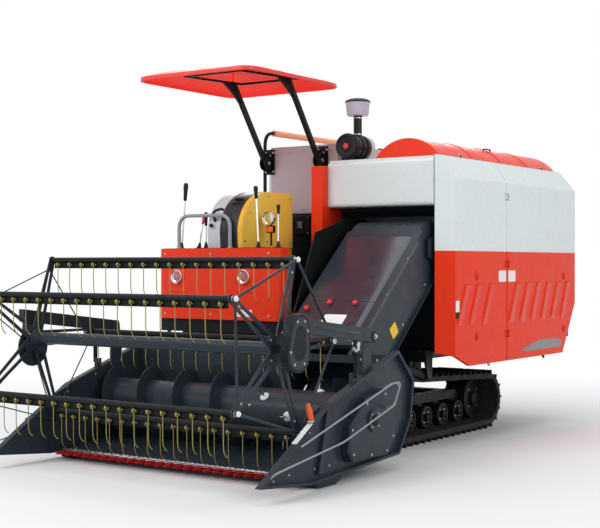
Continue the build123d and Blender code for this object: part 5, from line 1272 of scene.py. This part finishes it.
def stuffed(name, low, high, edge, support, lean=0.0, waist=0.0):
    """A closed cushion, remeshed fine, swollen as cloth under pressure, and flat on what supports it."""
    low, high = Vector(low), Vector(high)
    block = bmesh.new()
    bmesh.ops.create_cube(block, size=1.0)
    for v in block.verts:
        v.co = Vector([low[i] + (v.co[i] + 0.5) * (high[i] - low[i]) for i in range(3)])
    bmesh.ops.bevel(block, geom=block.edges[:], offset=edge, segments=5, profile=0.5, affect="EDGES")
    middle = (low + high) / 2
    for v in block.verts:
        v.co.x = middle.x + (v.co.x - middle.x) * (1 - waist * (v.co.z - low.z) / (high.z - low.z))
        v.co.y += lean * (v.co.z - low.z)
    made = from_bmesh(name, block)
    remesh = made.modifiers.new("remesh", "REMESH")
    remesh.mode = "VOXEL"
    remesh.voxel_size = 0.006
    settle(made)
    swell(made)
    place, normal = Vector(support[0]), Vector(support[1]).normalized()
    for vertex in made.data.vertices:
        vertex.co += normal * max(0.0, (place - vertex.co).dot(normal))
    return made


CLOTH_FRAMES = 20


def swell(pad, pressure=4.0, cap=0.016):
    """Runs the cloth, keeps each point within the cap, and leaves no modifier."""
    cloth = pad.modifiers.new("cloth", "CLOTH")
    cloth.settings.use_pressure = True
    cloth.settings.uniform_pressure_force = pressure
    cloth.settings.effector_weights.gravity = 0.0
    scene = bpy.context.scene
    for number in range(1, CLOTH_FRAMES + 1):
        scene.frame_set(number)
    graph = bpy.context.evaluated_depsgraph_get()
    shaped = [v.co.copy() for v in pad.evaluated_get(graph).data.vertices]
    pad.modifiers.clear()
    for vertex, target in zip(pad.data.vertices, shaped):
        step = target - vertex.co
        vertex.co += step * min(1.0, cap / max(step.length, 1e-9))
    scene.frame_set(1)


def sew(pad, seams, facing, depth=0.007, width=0.011):
    """Pulls the cover in along sewn channels, each a plane's point and normal."""
    pad.modifiers.new("smooth", "SUBSURF").levels = 1
    settle(pad)
    facing = Vector(facing).normalized()
    turned = [max(0.0, v.normal.dot(facing)) for v in pad.data.vertices]
    for vertex, share in zip(pad.data.vertices, turned):
        pull = 0.0
        for place, normal in seams:
            away = (vertex.co - Vector(place)).dot(Vector(normal).normalized()) / width
            pull = max(pull, math.exp(-away * away))
        vertex.co -= facing * depth * pull * min(1.0, share * 1.6)
    for polygon in pad.data.polygons:
        polygon.use_smooth = True


def welt(piece, pad, center, plane_x, plane_y, radius=0.0035, count=96):
    """Piping laid on the cushion, where rays towards its middle meet the cover."""
    center, plane_x, plane_y = Vector(center), Vector(plane_x), Vector(plane_y)
    cover = BVHTree.FromPolygons([v.co for v in pad.data.vertices], [p.vertices for p in pad.data.polygons])
    line = []
    for i in range(count):
        a = 2 * math.pi * i / count
        out = plane_x * math.cos(a) + plane_y * math.sin(a)
        place, normal = cover.ray_cast(center + out, -out)[:2]
        line.append(place + normal * radius * 0.3)
    piece.sweep(line, radius, 8, True)


SEAT_X = -0.7825
LEAN = 0.105
REST_FOOT = Vector((0, 0.1195, 1.362))
base = stuffed("seat_cushion", (-0.913, -0.268, 1.264), (-0.652, 0.05, 1.326), 0.024, ((0, 0, 1.262), TOP))
sew(base, [((x, 0, 0), LEFT) for x in (-0.84, -0.725)] + [((0, -0.205, 0), REAR)], TOP)
rest = stuffed("seat_back", (-0.896, 0.078, 1.364), (-0.669, 0.118, 1.722), 0.018, (REST_FOOT, (0, -1, LEAN)),
               LEAN, 0.1)
sew(rest, [((0, 0, z), TOP) for z in (1.47, 1.56, 1.65)], (0, -1, 0.1), 0.006)
for cushion in (base, rest):
    cushion.data.materials.clear()
    cushion.data.materials.append(vinyl)
    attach(cushion, "chassis")
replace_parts(base, "seat")


def behind_rest(z):
    """Where the back's rear face is at a height."""
    return REST_FOOT.y + LEAN * (z - REST_FOOT.z)


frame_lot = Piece().use(grip_plastic)
welt(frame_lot, base, (SEAT_X, -0.11, 1.318), (0.4, 0, 0), (0, 0.4, 0))
welt(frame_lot, rest, (SEAT_X, 0.112, 1.55), (0.4, 0, 0), (0, 0.06, 0.5))
# Pan with runners under the base
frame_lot.use(black_paint).box((-0.93, -0.285, 1.2505), (-0.635, 0.125, 1.262), 0.004)
for x in (-0.905, -0.69):
    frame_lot.box((x, -0.27, 1.2402), (x + 0.03, 0.11, 1.2505), 0.002)
# The back shell curves round the back cushion
shell = []
shares = [k / 6 - 1 for k in range(13)]
for z, half in ((1.262, 0.118), (1.345, 0.136), (1.48, 0.14), (1.62, 0.134), (1.725, 0.12), (1.75, 0.09)):
    bow = [(SEAT_X + half * share, behind_rest(z) - 0.022 * abs(share) ** 3) for share in shares]
    shell.append([(x, y, z) for x, y in bow] + [(x, y + 0.009, z) for x, y in reversed(bow)])
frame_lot.use(intake_plastic).skin(shell)
back_bolts = [(x, behind_rest(z) + 0.007, z) for x in (-0.87, -0.695) for z in (1.4, 1.64)]
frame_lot.use(bright_zinc).bolts(back_bolts, (0, 1, -LEAN), 0.007)
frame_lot.done("seat_frame", "chassis", "frame_black", 35)


# Floor, light and camera
floor_mesh = bmesh.new()
bmesh.ops.create_grid(floor_mesh, x_segments=1, y_segments=1, size=60.0)
floor = from_bmesh("floor", floor_mesh)
floor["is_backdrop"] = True

# The floor is matt near the object, where it keeps a shadow, and plain white further out
floor_material = bpy.data.materials.new("floor_white")
ground = Tree(floor_material)
ground.tree.nodes.clear()
away = ground.node("VectorMath", {0: ground.node("TexCoord").outputs["Object"]}, operation="LENGTH")
fade = ground.node("MapRange", {"Value": away.outputs["Value"], "From Min": 2.2, "From Max": 6.5},
                   interpolation_type="SMOOTHSTEP")
paths = ground.node("LightPath").outputs
seen = ground.math("MAXIMUM", paths["Is Camera Ray"], paths["Is Glossy Ray"])
matt = ground.node("BsdfDiffuse", {"Color": (0.86, 0.86, 0.86)})
white = ground.node("Emission", {"Color": (1.0, 1.0, 1.0)})
ground.blend(ground.math("MULTIPLY", seen, fade.outputs["Result"]), matt, white, "OutputMaterial")
floor.data.materials.append(floor_material)

world = bpy.data.worlds.new("studio")
bpy.context.scene.world = world
sky = Tree(world)
sky.tree.nodes.clear()
ambient = sky.node("Background", {"Color": (0.93, 0.96, 1.0), "Strength": 0.5})
backdrop = sky.node("Background", {"Color": (1.0, 1.0, 1.0), "Strength": 1.0})
paths = sky.node("LightPath").outputs
clear = sky.math("MAXIMUM", paths["Is Camera Ray"], paths["Is Transmission Ray"])
sky.blend(sky.math("MAXIMUM", clear, paths["Is Glossy Ray"]), ambient, backdrop, "OutputWorld")


def area_light(name, place, target, size, power):
    data = bpy.data.lights.new(name, "AREA")
    data.shape = "RECTANGLE"
    data.size, data.size_y = size
    data.energy = power
    lamp = in_scene(name, data)
    lamp.location = place
    lamp.rotation_euler = (Vector(target) - Vector(place)).to_track_quat("-Z", "Y").to_euler()


area_light("key", (-3.0, -8.0, 6.5), (0, 0, 1.0), (5.0, 4.0), 370)
area_light("side", (8.5, -1.5, 4.5), (0.5, 0.5, 1.0), (6.0, 4.0), 200)
area_light("top", (0.0, 0.5, 9.0), (0, 0, 1.0), (8.0, 8.0), 260)
area_light("back", (-5.0, 8.0, 6.0), (0, 0, 1.0), (6.0, 5.0), 240)

CAMERA = Vector((4.964, -7.48, 1.28))
LOOK = Vector((-0.5693, 0.8221, 0.0))
data = bpy.data.cameras.new("camera")
data.sensor_width = 36.0
data.lens = 74.64
data.clip_end = 200.0
camera = in_scene("camera", data)
camera.location = CAMERA
camera.rotation_euler = LOOK.to_track_quat("-Z", "Y").to_euler()
bpy.context.scene.camera = camera
bpy.context.scene.view_settings.view_transform = "Standard"

low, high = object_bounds()
